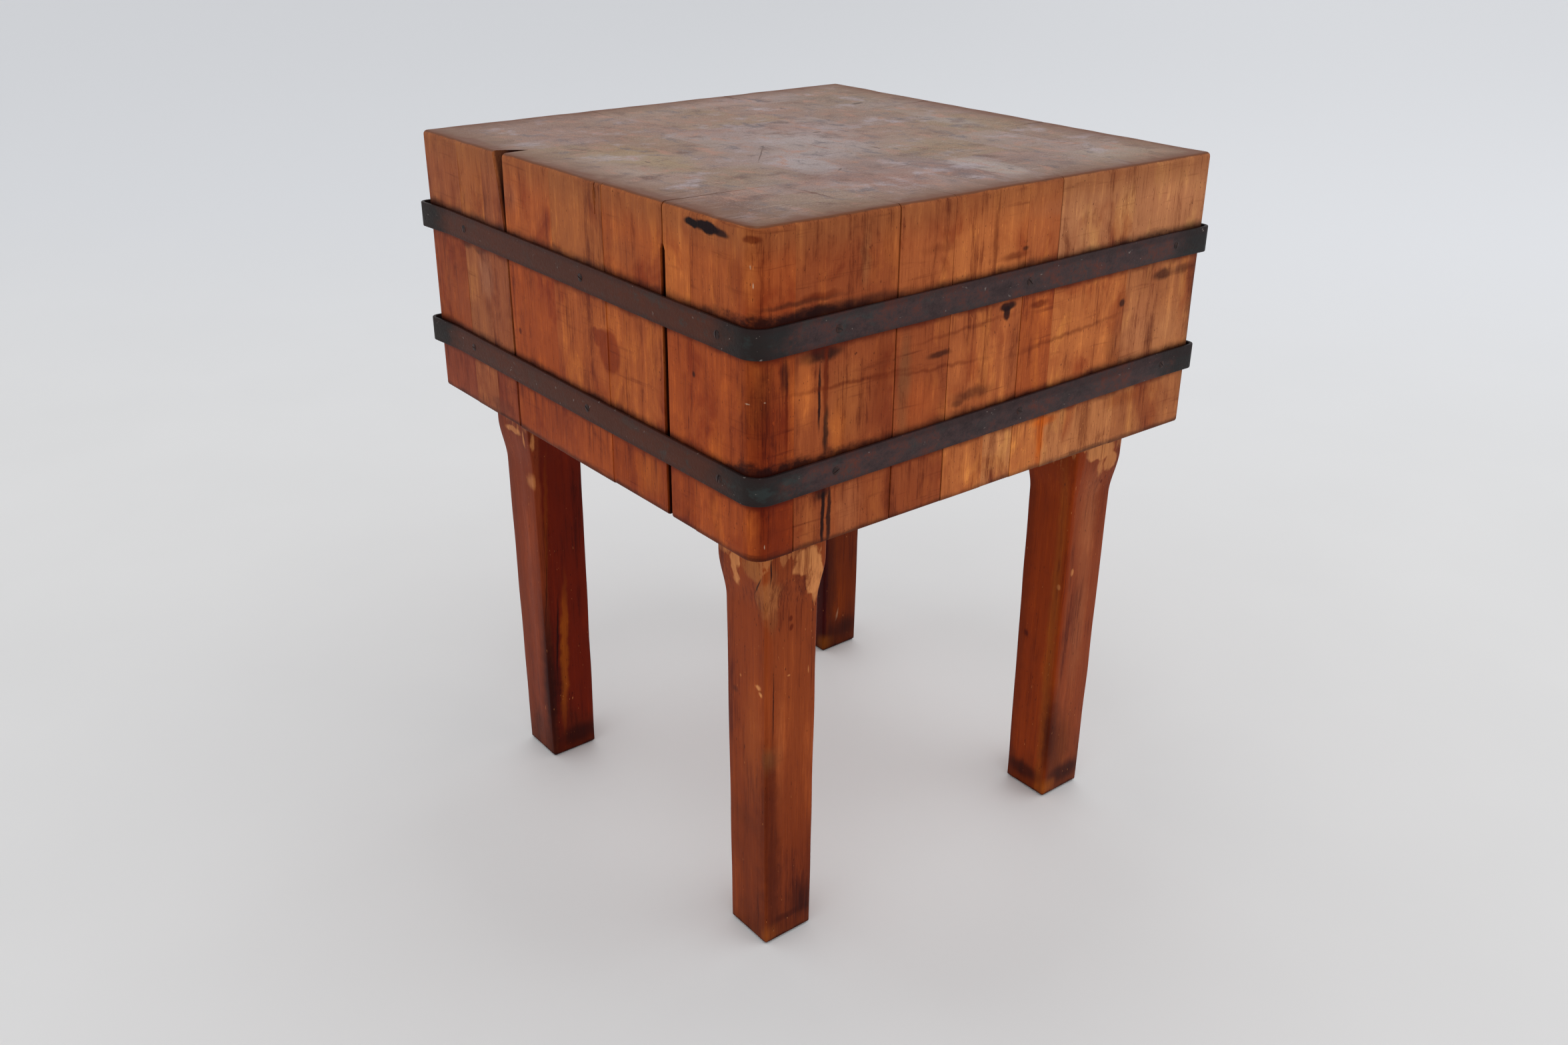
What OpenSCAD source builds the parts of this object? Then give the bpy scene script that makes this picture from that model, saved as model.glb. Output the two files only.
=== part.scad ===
/* [Block] */
// Width of the block, along X
block_w = 660; // [600:10:760]
// Depth of the block, along Y
block_d = 670; // [600:10:760]
// Thickness of the block, which is the length of its staves
block_h = 329; // [260:1:400]
// Radius worn onto the block's four upright corners
corner_r = 16; // [4:1:30]
// Length of the worn split that opens from the left edge, along X
notch_len = 46; // [20:1:80]
// Width of that split where it breaks the top edge
notch_w = 20; // [8:1:30]
// Depth of that split down the left side
notch_h = 85; // [40:1:100]

/* [Legs] */
// Height of the block's underside above the floor
leg_h = 546; // [400:1:620]
// Width of a leg just under its shoulder
leg_top_w = 73; // [60:1:80]
// Width of a leg at the floor
leg_foot_w = 68; // [50:1:75]
// Distance from the block's left and right sides to the legs' outer faces
leg_inset_x = 52.5; // [30:0.5:80]
// Distance from the block's front and back to the legs' outer faces
leg_inset_y = 50.5; // [30:0.5:80]
// How much further right the back right leg stands than its place in the square
back_right_shift_x = 13; // [0:1:20]
// How much further forward it stands
back_right_shift_y = 6; // [0:1:20]
// How far a leg's shoulder stands out on each side
shoulder_out = 6; // [2:0.5:10]
// Height of the shoulder's straight part, under the block
shoulder_flat_h = 46; // [10:1:60]
// Height of the curve from the shoulder into the leg
shoulder_curve_h = 56; // [15:1:70]
// Bevel round the bottom of each foot
foot_bevel = 4; // [1:0.5:6]
// Diameter of the round tenon on top of each leg
tenon_d = 40; // [25:1:50]
// Length of that tenon
tenon_l = 80; // [40:1:120]

/* [Bands] */
// Width of the flat iron bar of the bands
band_h = 30; // [20:1:40]
// Thickness of that bar
band_t = 4; // [3:0.5:6]
// Outside radius of the bands' corners
band_corner_r = 14; // [10:1:20]
// Height of the upper band's middle above the block's underside
upper_band_z = 224; // [170:1:235]
// Height of the lower band's middle above the block's underside
lower_band_z = 76; // [50:1:120]

/* [Screws] */
// Diameter of a screw's countersunk head
head_d = 9; // [7:0.5:12]
// Diameter of a screw's shank
shank_d = 4.5; // [3:0.5:6]
// Length of a screw, head included
screw_l = 40; // [25:1:60]
// Width of the slot in a screw's head
slot_w = 1.2; // [0.8:0.1:2]

/* [Hidden] */
// Rows of staves from front to back: each row's letter, its depth, and its staves' widths from left to right.
// All are in the proportions of a block 660 wide and 670 deep, and follow the block's own size.
ROWS = [
    ["a", 101, [48, 129, 74, 61, 46, 50, 121, 131]],
    ["b", 46, [110, 92, 128, 96, 134, 100]],
    ["c", 111, [84, 117, 54, 115, 110, 86, 94]],
    ["d", 106, [128, 146, 104, 152, 130]],
    ["e", 104, [96, 118, 140, 92, 112, 102]],
    ["f", 52, [142, 116, 150, 124, 128]],
    ["g", 58, [104, 148, 122, 160, 126]],
    ["h", 92, [126, 110, 98, 118, 94, 114]]
];
// Legs: name, the side of the block it stands at along X and along Y, and its shift from the square.
LEGS = [
    ["leg_front_left", [-1, -1], [0, 0]],
    ["leg_front_right", [1, -1], [0, 0]],
    ["leg_back_left", [-1, 1], [0, 0]],
    ["leg_back_right", [1, 1], [back_right_shift_x, -back_right_shift_y]]
];
// Places of a band's screws along each side, as shares of that side from its middle.
SCREW_SHARES = [-0.35, 0.05, 0.42];
// The notch opens in the seam between rows e and f.
NOTCH_ROW = 5;

// Clearance of a tenon in its mortise and of a screw in its hole
fit_gap = 0.1;
// Extra length of a cut past the face it breaks through
cut = 1;
head_h = 3;
slot_depth = 1;
mortise_extra = 3;
curve_steps = 10;
round_fn = 64;
screw_fn = 32;
top_z = leg_h + block_h;

function sum_to(list, count) = count == 0 ? 0 : list[count - 1] + sum_to(list, count - 1);
function total(list) = sum_to(list, len(list));
function row_depths() = [for (row = ROWS) row[1]];
function row_y(r) = -block_d / 2 + block_d * sum_to(row_depths(), r) / total(row_depths());
function stave_x(r, i) = -block_w / 2 + block_w * sum_to(ROWS[r][2], i) / total(ROWS[r][2]);
function stave_name(r, i) = str("stave_", ROWS[r][0], i + 1);

leg_names = [for (leg = LEGS) leg[0]];
stave_names = [for (r = [0 : len(ROWS) - 1]) for (i = [0 : len(ROWS[r][2]) - 1]) stave_name(r, i)];

// Middle of a leg on the floor plan
function leg_place(leg) = [
    leg[1][0] * (block_w / 2 - leg_inset_x - leg_top_w / 2) + leg[2][0],
    leg[1][1] * (block_d / 2 - leg_inset_y - leg_top_w / 2) + leg[2][1]
];

// Half the leg's width at height z, which tapers evenly to the foot
function leg_half(z) = (leg_foot_w + (leg_top_w - leg_foot_w) * z / leg_h) / 2;

// How far the shoulder stands out at depth d under the block: straight, then an ogee into the leg
function shoulder(d) = shoulder_out * (1 + cos(180 * max(0, d - shoulder_flat_h) / shoulder_curve_h)) / 2;

// Right half of the leg's outline, from the foot up to the block
function leg_outline() = concat(
    [[leg_half(0) - foot_bevel / 2, 0], [leg_half(foot_bevel), foot_bevel]],
    [
        for (k = [curve_steps : -1 : 0])
            let (d = shoulder_flat_h + shoulder_curve_h * k / curve_steps, z = leg_h - d)
                [leg_half(z) + shoulder(d), z]
    ],
    [[leg_half(leg_h) + shoulder_out, leg_h]]
);

function mirrored(points) = [for (k = [len(points) - 1 : -1 : 0]) [-points[k][0], points[k][1]]];

// Rectangle w by d with its corners rounded to radius r, in circles and squares
module rounded_rectangle(w, d, r) {
    square([w - 2 * r, d], center = true);
    square([w, d - 2 * r], center = true);
    for (sx = [-1, 1], sy = [-1, 1])
        translate([sx * (w / 2 - r), sy * (d / 2 - r)]) circle(r = r, $fn = round_fn);
}

// Leg profile cut as if from one side on the bandsaw, as deep as needed
module leg_cut(depth) {
    rotate([90, 0, 0])
        linear_extrude(height = depth, center = true)
            polygon(concat(leg_outline(), mirrored(leg_outline())));
}

// One leg: the same outline cut from both sides, with the round tenon that enters the block
module leg(place) {
    color("#8a3f1c")
        translate([place[0], place[1], 0]) {
            intersection() {
                leg_cut(2 * leg_top_w);
                rotate([0, 0, 90]) leg_cut(2 * leg_top_w);
            }
            translate([0, 0, leg_h]) cylinder(d = tenon_d, h = tenon_l, $fn = round_fn);
        }
}

// Blind mortises in the block's underside
module mortises() {
    for (leg = LEGS)
        translate([leg_place(leg)[0], leg_place(leg)[1], leg_h - cut])
            cylinder(d = tenon_d + 2 * fit_gap, h = tenon_l + mortise_extra + cut, $fn = round_fn);
}

// Puts a band's screw, drawn along +Z with its head at 0, into each of its places, pointing into the wood
module at_screws(z) {
    for (quarter = [0 : 3])
        let (
            along = quarter % 2 == 0 ? block_w : block_d,
            across = quarter % 2 == 0 ? block_d : block_w
        )
            rotate([0, 0, 90 * quarter])
                for (share = SCREW_SHARES)
                    translate([share * along, -across / 2 - band_t, leg_h + z])
                        rotate([-90, 0, 0]) children();
}

// Slotted wood screw with a countersunk head
module screw() {
    difference() {
        union() {
            cylinder(d1 = head_d, d2 = shank_d, h = head_h, $fn = screw_fn);
            cylinder(d = shank_d, h = screw_l, $fn = screw_fn);
        }
        translate([-head_d, -slot_w / 2, -cut]) cube([2 * head_d, slot_w, slot_depth + cut]);
    }
}

// Hole for that screw, a little larger all round
module screw_hole() {
    cylinder(d1 = head_d + 2 * fit_gap, d2 = shank_d + 2 * fit_gap, h = head_h, $fn = screw_fn);
    translate([0, 0, -cut]) cylinder(d = shank_d + 2 * fit_gap, h = screw_l + fit_gap + cut, $fn = screw_fn);
}

// Worn split at the left edge, open at the top and narrowing downwards
module notch() {
    translate([-block_w / 2 - cut, row_y(NOTCH_ROW), 0])
        intersection() {
            rotate([90, 0, 90])
                linear_extrude(height = notch_len + cut)
                    polygon([[0, top_z - notch_h], [notch_w, top_z + cut], [0, top_z + cut]]);
            rotate([-90, 0, 0])
                linear_extrude(height = notch_w)
                    polygon([
                        [0, -top_z + notch_h], [0, -top_z - cut],
                        [notch_len + cut, -top_z - cut], [notch_len / 3, -top_z + notch_h]
                    ]);
        }
}

// One stave of the block, with what the corners, mortises, screws and wear take from it
module stave(r, i) {
    color(["#a9632f", "#96502a", "#b3713d"][(r + 2 * i) % 3])
        difference() {
            intersection() {
                translate([stave_x(r, i), row_y(r), leg_h])
                    cube([stave_x(r, i + 1) - stave_x(r, i), row_y(r + 1) - row_y(r), block_h]);
                translate([0, 0, leg_h])
                    linear_extrude(height = block_h) rounded_rectangle(block_w, block_d, corner_r);
            }
            mortises();
            at_screws(upper_band_z) screw_hole();
            at_screws(lower_band_z) screw_hole();
            if (r == NOTCH_ROW) notch();
        }
}

// Flat iron bar bent round the block, with its middle at height z above the underside
module band(z) {
    color("#3f3533")
        difference() {
            translate([0, 0, leg_h + z - band_h / 2])
                linear_extrude(height = band_h)
                    difference() {
                        rounded_rectangle(block_w + 2 * band_t, block_d + 2 * band_t, band_corner_r);
                        rounded_rectangle(block_w, block_d, band_corner_r - band_t);
                    }
            at_screws(z) screw_hole();
        }
}

module band_screws(z) {
    color("#55504c") at_screws(z) screw();
}

for (leg = LEGS)
    leg(leg_place(leg));
for (r = [0 : len(ROWS) - 1], i = [0 : len(ROWS[r][2]) - 1])
    stave(r, i);
band(upper_band_z);  // upper_band
band(lower_band_z);  // lower_band
band_screws(upper_band_z);  // upper_band_screws
band_screws(lower_band_z);  // lower_band_screws
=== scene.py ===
"""An old butcher's block: end-grain staves bound by two screwed iron bands, on four tenoned legs.

Each stave, leg, band and set of screws is a piece of its own, built from the size of its own part.
"""

import logging
import math
import random
from dataclasses import dataclass, field
from enum import Enum
from typing import Callable, Iterable, Sequence

import bmesh
import bpy
from mathutils import Matrix, Vector, noise


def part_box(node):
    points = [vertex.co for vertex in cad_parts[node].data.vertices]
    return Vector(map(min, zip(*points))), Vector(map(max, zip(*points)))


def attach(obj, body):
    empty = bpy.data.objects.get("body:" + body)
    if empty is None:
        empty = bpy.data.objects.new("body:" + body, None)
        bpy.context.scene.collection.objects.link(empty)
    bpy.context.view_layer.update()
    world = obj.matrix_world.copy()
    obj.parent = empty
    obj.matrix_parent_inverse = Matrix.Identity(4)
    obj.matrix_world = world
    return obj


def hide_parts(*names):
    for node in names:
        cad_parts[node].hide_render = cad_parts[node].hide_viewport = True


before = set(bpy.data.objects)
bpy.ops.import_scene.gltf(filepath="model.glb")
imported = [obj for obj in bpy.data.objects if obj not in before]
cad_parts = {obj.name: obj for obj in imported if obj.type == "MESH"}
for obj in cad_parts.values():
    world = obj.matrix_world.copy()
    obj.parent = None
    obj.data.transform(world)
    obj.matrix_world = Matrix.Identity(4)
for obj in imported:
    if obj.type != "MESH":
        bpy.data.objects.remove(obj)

log = logging.getLogger("butcher_block")
BODY = "root"
MM = 0.001
TINY = 1e-6
Colour = tuple[float, float, float, float]


# ---------------------------------------------------------------- small helpers


def rgb(red: int, green: int, blue: int) -> Colour:
    """Turns a colour of 0 to 255, as a screen shows it, into the linear colour that a shader takes.

    Args:
        red: Red, 0 to 255.
        green: Green, 0 to 255.
        blue: Blue, 0 to 255.

    Returns:
        The linear colour with an alpha of 1.
    """
    def linear(level: int) -> float:
        share = level / 255
        return share / 12.92 if share <= 0.04045 else ((share + 0.055) / 1.055) ** 2.4

    return linear(red), linear(green), linear(blue), 1.0


def smooth(value: float, low: float, high: float) -> float:
    """Rises smoothly from 0 at low to 1 at high; high may be the smaller of the two."""
    share = min(1.0, max(0.0, (value - low) / (high - low)))
    return share * share * (3 - 2 * share)


def along(points: Sequence[tuple[float, float]], at: float) -> float:
    """Reads a line of (place, value) points, in rising places, at one place between them.

    Args:
        points: The line's points.
        at: The place to read.

    Returns:
        The value there, or the end value beyond either end.
    """
    if at <= points[0][0]:
        return points[0][1]
    for (place_a, value_a), (place_b, value_b) in zip(points, points[1:]):
        if at <= place_b:
            return value_a + (value_b - value_a) * (at - place_a) / (place_b - place_a)
    return points[-1][1]


def steps(low: float, high: float, step: float) -> list[float]:
    """Splits a length evenly, about a step apart, and leaves its two ends out."""
    count = max(1, round((high - low) / step))
    return [low + (high - low) * k / count for k in range(1, count)]


# ---------------------------------------------------------------- shader maths


class Value:
    """A number that varies over a surface: a socket whose arithmetic adds Math nodes."""

    def __init__(self, net: "Net", socket: bpy.types.NodeSocket) -> None:
        """Wraps a socket of a net."""
        self.net = net
        self.socket = socket

    def maths(self, operation: str, first: object, second: object = 0.0) -> "Value":
        """Adds one Math node on two numbers, either of which may be a plain float."""
        return self.net.node("ShaderNodeMath", {"operation": operation}, {0: first, 1: second})[0]

    def __add__(self, other: object) -> "Value":
        """Adds."""
        return self.maths("ADD", self, other)

    def __radd__(self, other: object) -> "Value":
        """Adds, from the right."""
        return self.maths("ADD", other, self)

    def __sub__(self, other: object) -> "Value":
        """Subtracts."""
        return self.maths("SUBTRACT", self, other)

    def __rsub__(self, other: object) -> "Value":
        """Subtracts, from the right."""
        return self.maths("SUBTRACT", other, self)

    def __mul__(self, other: object) -> "Value":
        """Multiplies."""
        return self.maths("MULTIPLY", self, other)

    def __rmul__(self, other: object) -> "Value":
        """Multiplies, from the right."""
        return self.maths("MULTIPLY", other, self)

    def least(self, other: object) -> "Value":
        """Takes the smaller of two."""
        return self.maths("MINIMUM", self, other)

    def most(self, other: object) -> "Value":
        """Takes the larger of two."""
        return self.maths("MAXIMUM", self, other)

    def size(self) -> "Value":
        """Takes the number without its sign."""
        return self.maths("ABSOLUTE", self)

    def between(self, low: object, high: object) -> "Value":
        """Rises smoothly from 0 at low to 1 at high; high may be the smaller of the two."""
        return self.net.node(
            "ShaderNodeMapRange",
            {"interpolation_type": "SMOOTHSTEP", "clamp": True},
            {"Value": self, "From Min": low, "From Max": high},
        )[0]


class Net:
    """A material's node tree, and the few kinds of node that this file needs."""

    def __init__(self, name: str) -> None:
        """Starts a material with only its output and its surface shader.

        Args:
            name: The material's name.
        """
        self.material = bpy.data.materials.new(name)
        self.material.use_nodes = True
        self.tree = self.material.node_tree
        self.tree.nodes.clear()
        self.place = Value(self, self.node("ShaderNodeTexCoord")["Object"].socket)
        self.x, self.y, self.z = self.axes(self.place)

    def node(self, kind: str, settings: dict | None = None, inputs: dict | None = None) -> "Outlets":
        """Adds one node of any type.

        Args:
            kind: The node's type.
            settings: Its properties, which are set before its sockets.
            inputs: Values or links for its sockets, by name or number.

        Returns:
            The node's outlets.
        """
        made = self.tree.nodes.new(kind)
        for key, setting in (settings or {}).items():
            setattr(made, key, setting)
        for key, given in (inputs or {}).items():
            if isinstance(given, Value):
                self.tree.links.new(given.socket, made.inputs[key])
            else:
                made.inputs[key].default_value = given
        return Outlets(self, made)

    def axes(self, vector: Value) -> tuple[Value, Value, Value]:
        """Splits a vector into its three numbers."""
        split = self.node("ShaderNodeSeparateXYZ", None, {0: vector})
        return split[0], split[1], split[2]

    def noise(self, at: Value, scale: float, detail: float = 2, rough: float = 0.5,
              swirl: float = 0) -> Value:
        """Reads soft cloudy noise of 0 to 1."""
        return self.node(
            "ShaderNodeTexNoise", {"noise_dimensions": "3D"},
            {"Vector": at, "Scale": scale, "Detail": detail, "Roughness": rough, "Distortion": swirl},
        )[0]

    def grain(self, scale: Sequence[float], shift: Sequence[float], detail: float, rough: float = 0.5,
              swirl: float = 0, turn: Sequence[float] = (0, 0, 0)) -> Value:
        """Reads noise that is stretched, shifted and turned on the piece."""
        at = self.node(
            "ShaderNodeMapping", {"vector_type": "POINT"},
            {"Vector": self.place, "Location": shift, "Rotation": turn, "Scale": scale},
        )[0]
        return self.noise(at, 1.0, detail, rough, swirl)

    def stir(self) -> Value:
        """Reads the fine noisy colour that breaks up the outlines of marks."""
        return self.node(
            "ShaderNodeTexNoise", None, {"Vector": self.place, "Scale": 60.0, "Detail": 4.0},
        )["Color"]

    def mix(self, first: object, second: object, share: object, blend: str = "MIX") -> Value:
        """Mixes two colours.

        Args:
            first: The colour underneath.
            second: The colour laid over it.
            share: How much of the second shows, 0 to 1.
            blend: The Mix node's way of blending.

        Returns:
            The mixed colour.
        """
        return self.node(
            "ShaderNodeMix",
            {"data_type": "RGBA", "blend_type": blend, "clamp_factor": True},
            {0: share, 6: first, 7: second},
        )[2]

    def tinted(self, colour: object, tint: Colour) -> Value:
        """Multiplies a colour by a tint."""
        return self.mix(colour, tint, 1.0, "MULTIPLY")

    def coated(self, colour: object, *coats: tuple[object, object]) -> Value:
        """Lays coats over a colour in order, each a paint and how much of it shows."""
        for paint, share in coats:
            colour = self.mix(colour, paint, share)
        return colour

    def ramp(self, at: Value, stops: Sequence[tuple[float, Colour]]) -> Value:
        """Reads a colour from a row of (place, colour) stops."""
        made = self.node("ShaderNodeValToRGB", None, {0: at})
        elements = made.made.color_ramp.elements
        for element, (place, colour) in zip(elements, stops):
            element.position, element.color = place, colour
        for place, colour in stops[2:]:
            elements.new(place).color = colour
        return made[0]

    def marked(self, colour: Value, marks: Sequence["Mark"], stir: Value) -> Value:
        """Lays marks over a colour, their outlines stirred by a noisy colour."""
        for mark in marks:
            strayed = self.node(
                "ShaderNodeVectorMath", {"operation": "MULTIPLY_ADD"},
                {0: stir, 1: (2 * mark.stir,) * 3, 2: self.place},
            )[0]
            middle = tuple(c + mark.stir for c in mark.at)
            round_it = self.node(
                "ShaderNodeMapping", {"vector_type": "TEXTURE"},
                {"Vector": strayed, "Location": middle, "Scale": mark.half, "Rotation": mark.turn},
            )[0]
            away = self.node("ShaderNodeVectorMath", {"operation": "LENGTH"}, {0: round_it})["Value"]
            share = away.between(1 + mark.soft, 1 - mark.soft) * mark.strength
            colour = self.mix(colour, mark.colour, share)
        return colour

    def finish(self, colour: object, rough: object, shine: float, bump: Value | None = None,
               depth: float = 0.5 * MM) -> bpy.types.Material:
        """Closes the tree with one surface shader.

        Args:
            colour: The surface's colour.
            rough: Its roughness, 0 to 1.
            shine: How much light it throws straight back, as the shader's specular level.
            bump: Height of the fine relief, 0 to 1.
            depth: What a height of 1 stands for, in metres.

        Returns:
            The finished material.
        """
        sockets = {"Base Color": colour, "Roughness": rough, "Specular IOR Level": shine}
        if bump is not None:
            relief = {"Strength": 1.0, "Distance": depth, "Height": bump}
            sockets["Normal"] = self.node("ShaderNodeBump", None, relief)[0]
        shader = self.node("ShaderNodeBsdfPrincipled", None, sockets)
        self.node("ShaderNodeOutputMaterial", None, {"Surface": shader[0]})
        return self.material


class Outlets:
    """The outputs of one node, each wrapped as a value."""

    def __init__(self, net: Net, made: bpy.types.Node) -> None:
        """Keeps a node and its net."""
        self.net = net
        self.made = made

    def __getitem__(self, key: int | str) -> Value:
        """Takes one output by name or number."""
        return Value(self.net, self.made.outputs[key])


# ---------------------------------------------------------------- the block's frame


@dataclass(frozen=True)
class Box:
    """A box that lines up with the axes."""

    low: Vector
    high: Vector

    @classmethod
    def of(cls, *names: str) -> "Box":
        """Measures the box round some parts of the frame."""
        corners = [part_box(name) for name in names]
        low = Vector([min(c[0][k] for c in corners) for k in range(3)])
        high = Vector([max(c[1][k] for c in corners) for k in range(3)])
        return cls(low, high)

    @property
    def middle(self) -> Vector:
        """The box's middle."""
        return (self.low + self.high) / 2

    @property
    def size(self) -> Vector:
        """The box's three sides."""
        return self.high - self.low

    def meets(self, other: "Box") -> bool:
        """Says whether two boxes share any space."""
        return all(
            self.low[k] < other.high[k] - TINY and other.low[k] < self.high[k] - TINY for k in range(3)
        )


STAVE_NAMES = sorted(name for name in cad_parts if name.startswith("stave_"))
BLOCK = Box.of(*STAVE_NAMES)
UPPER = Box.of("upper_band")
LOWER = Box.of("lower_band")
# Each band's place, its box, and how far it has slipped up for each metre towards the right.
BANDS = (("upper", UPPER, 4 * MM / BLOCK.size.x), ("lower", LOWER, 8 * MM / BLOCK.size.x))


class Face(Enum):
    """An upright face of the block: the axis across it, and -1 or 1 for the low or the high side."""

    LEFT = (0, -1)
    RIGHT = (0, 1)
    FRONT = (1, -1)
    BACK = (1, 1)

    @property
    def across(self) -> int:
        """The axis that the face stands across."""
        return self.value[0]

    @property
    def side(self) -> int:
        """-1 for the face on the low side, 1 for the one on the high side."""
        return self.value[1]

    def edge(self, box: Box) -> float:
        """Where this side of a box stands, along the axis that the face stands across."""
        return (box.low if self.side < 0 else box.high)[self.across]

    def depth(self, point: Vector) -> float:
        """How far inside this face of the block a point lies."""
        return abs(point[self.across] - self.edge(BLOCK))


def top_rise(x: float, y: float) -> float:
    """How far the worn top stands over, or under, its true height at a place on the floor plan."""
    east = (x - BLOCK.low.x) / BLOCK.size.x
    north = (y - BLOCK.low.y) / BLOCK.size.y
    front_left, front_right, back_left, back_right, hollow = 5.0, -2.0, -3.0, -4.0, 2.0
    front = front_left * (1 - east) + front_right * east
    back = back_left * (1 - east) + back_right * east
    dish = hollow * math.sin(math.pi * min(1, max(0, east))) * math.sin(math.pi * min(1, max(0, north)))
    return (front * (1 - north) + back * north - dish) * MM


# ---------------------------------------------------------------- wear on the block


@dataclass(frozen=True)
class OpenSeam:
    """A glue seam that has opened at one face of the block.

    Attributes:
        face: The face that it opens at.
        at: The seam's place along that face.
        widths: How far it stands open, as (height over the underside, width) points.
        reach: How far into the block it runs.
        lean: The share of the opening that is taken from the wood on the high side.
        spread: How far along the face the wood beside the seam has moved.
    """

    face: Face
    at: float
    widths: tuple[tuple[float, float], ...]
    reach: float
    lean: float = 0.5
    spread: float = 0.045

    def shift(self, point: Vector, high_side: bool) -> float:
        """How far a point of the wood beside the seam has moved away along the face."""
        away = abs(point[1 - self.face.across] - self.at)
        if away > self.spread:
            return 0.0
        width = along(self.widths, point.z - BLOCK.low.z)
        inward = max(0.0, 1 - self.face.depth(point) / self.reach)
        share = self.lean if high_side else self.lean - 1
        return share * width * inward * (1 - away / self.spread)


@dataclass(frozen=True)
class Check:
    """A short drying crack in the face of one stave, pointed at both ends."""

    face: Face
    at: float
    low: float
    high: float
    width: float
    depth: float

    def sink(self, point: Vector) -> float:
        """How deep the face is sunk at a point on it."""
        height = (point.z - BLOCK.low.z - self.low) / (self.high - self.low)
        if not 0 < height < 1:
            return 0.0
        half = self.width / 2 * math.sin(math.pi * height ** 1.6) + TINY
        return self.depth * max(0.0, 1 - abs(point[1 - self.face.across] - self.at) / half)


def open_seam(face: Face, at: float, reach: float, *widths: tuple[float, float],
              lean: float = 0.5) -> OpenSeam:
    """Makes an open seam from its place, its reach and its (height, width) points, in millimetres."""
    return OpenSeam(face, at * MM, tuple((high * MM, wide * MM) for high, wide in widths), reach * MM, lean)


SEAMS = (
    open_seam(Face.LEFT, 133, 36, (0, 5), (200, 3.8), (235, 5), (290, 13), (329, 24), lean=0.93),
    open_seam(Face.LEFT, -188, 150, (0, 9), (284, 8.6), (290, 2.4), (329, 1.6), lean=0.6),
    open_seam(Face.FRONT, -153, 26, (0, 0.7), (300, 1.2), (329, 0.7)),
    open_seam(Face.FRONT, -79, 22, (0, 1.8), (200, 1.1), (329, 0.5)),
    open_seam(Face.FRONT, 28, 30, (0, 0.6), (180, 0.6), (220, 0.1)),
    open_seam(Face.FRONT, 78, 22, (190, 0.1), (230, 0.9), (329, 0.5)),
    open_seam(Face.FRONT, -282, 50, (0, 1.6), (50, 0.8), (60, 0.1)),
    open_seam(Face.RIGHT, -77, 70, (0, 1.4), (200, 0.6), (329, 1.6)),
    open_seam(Face.RIGHT, 133, 60, (0, 0.6), (329, 2.2)),
    open_seam(Face.BACK, -94, 60, (0, 1.6), (329, 0.8)),
    open_seam(Face.BACK, 122, 60, (0, 0.6), (200, 1), (329, 2)),
)
CHECKS = (Check(Face.LEFT, -64 * MM, 0.296, 0.326, 5 * MM, 5 * MM),)


@dataclass(frozen=True)
class Wear:
    """How an old block has moved and worn, as one change of shape that every stave shares."""

    rise_from: float = UPPER.high.z + 10 * MM
    wave: float = 0.6 * MM
    wave_scale: float = 9.0
    skin: float = 30 * MM
    dent: float = 0.45 * MM
    dent_scale: float = 28.0
    dimple: float = 0.35 * MM
    dimple_scale: float = 22.0

    def moved(self, point: Vector, stave: "Stave") -> Vector:
        """Moves one point of a stave to where wear has left it.

        Args:
            point: The point on the true box.
            stave: The stave that it belongs to.

        Returns:
            The worn point.
        """
        worn = point.copy()
        for seam in stave.seams:
            across = 1 - seam.face.across
            worn[across] += seam.shift(point, stave.box.middle[across] > seam.at)
        for check in stave.checks:
            if check.face.depth(point) < self.skin / 3:
                worn[check.face.across] -= check.face.side * check.sink(point)
        for face in stave.faces:
            near = max(0.0, 1 - face.depth(point) / self.skin)
            if near:
                bulge = self.wave * noise.noise(point * self.wave_scale + stave.drift) + stave.proud
                worn[face.across] += face.side * near * bulge
        high = smooth(point.z, self.rise_from, BLOCK.high.z)
        depth = min((face.depth(point) for face in stave.faces), default=self.skin)
        dent = self.dent * max(0.0, 1 - depth / self.skin) * noise.noise(point * self.dent_scale)
        dimple = self.dimple * noise.noise(point * self.dimple_scale)
        worn.z += high * (top_rise(point.x, point.y) + dent)
        worn.z += high * dimple
        worn.z -= stave.sag * smooth(point.z, BLOCK.low.z + self.skin, BLOCK.low.z)
        return worn


# ---------------------------------------------------------------- making meshes


def cut(bm: bmesh.types.BMesh, axis: int, places: Iterable[float]) -> None:
    """Cuts a mesh across one axis at each place."""
    normal = Vector([float(k == axis) for k in range(3)])
    for place in places:
        bmesh.ops.bisect_plane(
            bm, geom=bm.verts[:] + bm.edges[:] + bm.faces[:], dist=TINY,
            plane_co=normal * place, plane_no=normal,
        )


def box_mesh(box: Box) -> bmesh.types.BMesh:
    """Starts a mesh from a plain box."""
    bm = bmesh.new()
    place = Matrix.Translation(box.middle) @ Matrix.Diagonal((*box.size, 1))
    bmesh.ops.create_cube(bm, size=1.0, matrix=place)
    return bm


def round_edges(bm: bmesh.types.BMesh, edges: list, radius: float, segments: int) -> None:
    """Rounds some edges of a mesh to a radius."""
    bmesh.ops.bevel(
        bm, geom=edges, offset=radius, offset_type="OFFSET", segments=segments,
        profile=0.5, affect="EDGES", material=-1, clamp_overlap=True,
    )


def upright(a: Vector, b: Vector) -> bool:
    """Says whether the edge between two points stands up."""
    return abs(a.z - b.z) > MM


def edges_where(bm: bmesh.types.BMesh, test: Callable[[Vector, Vector], bool]) -> list:
    """Picks the edges whose two ends pass a test."""
    return [edge for edge in bm.edges if test(edge.verts[0].co, edge.verts[1].co)]


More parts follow.
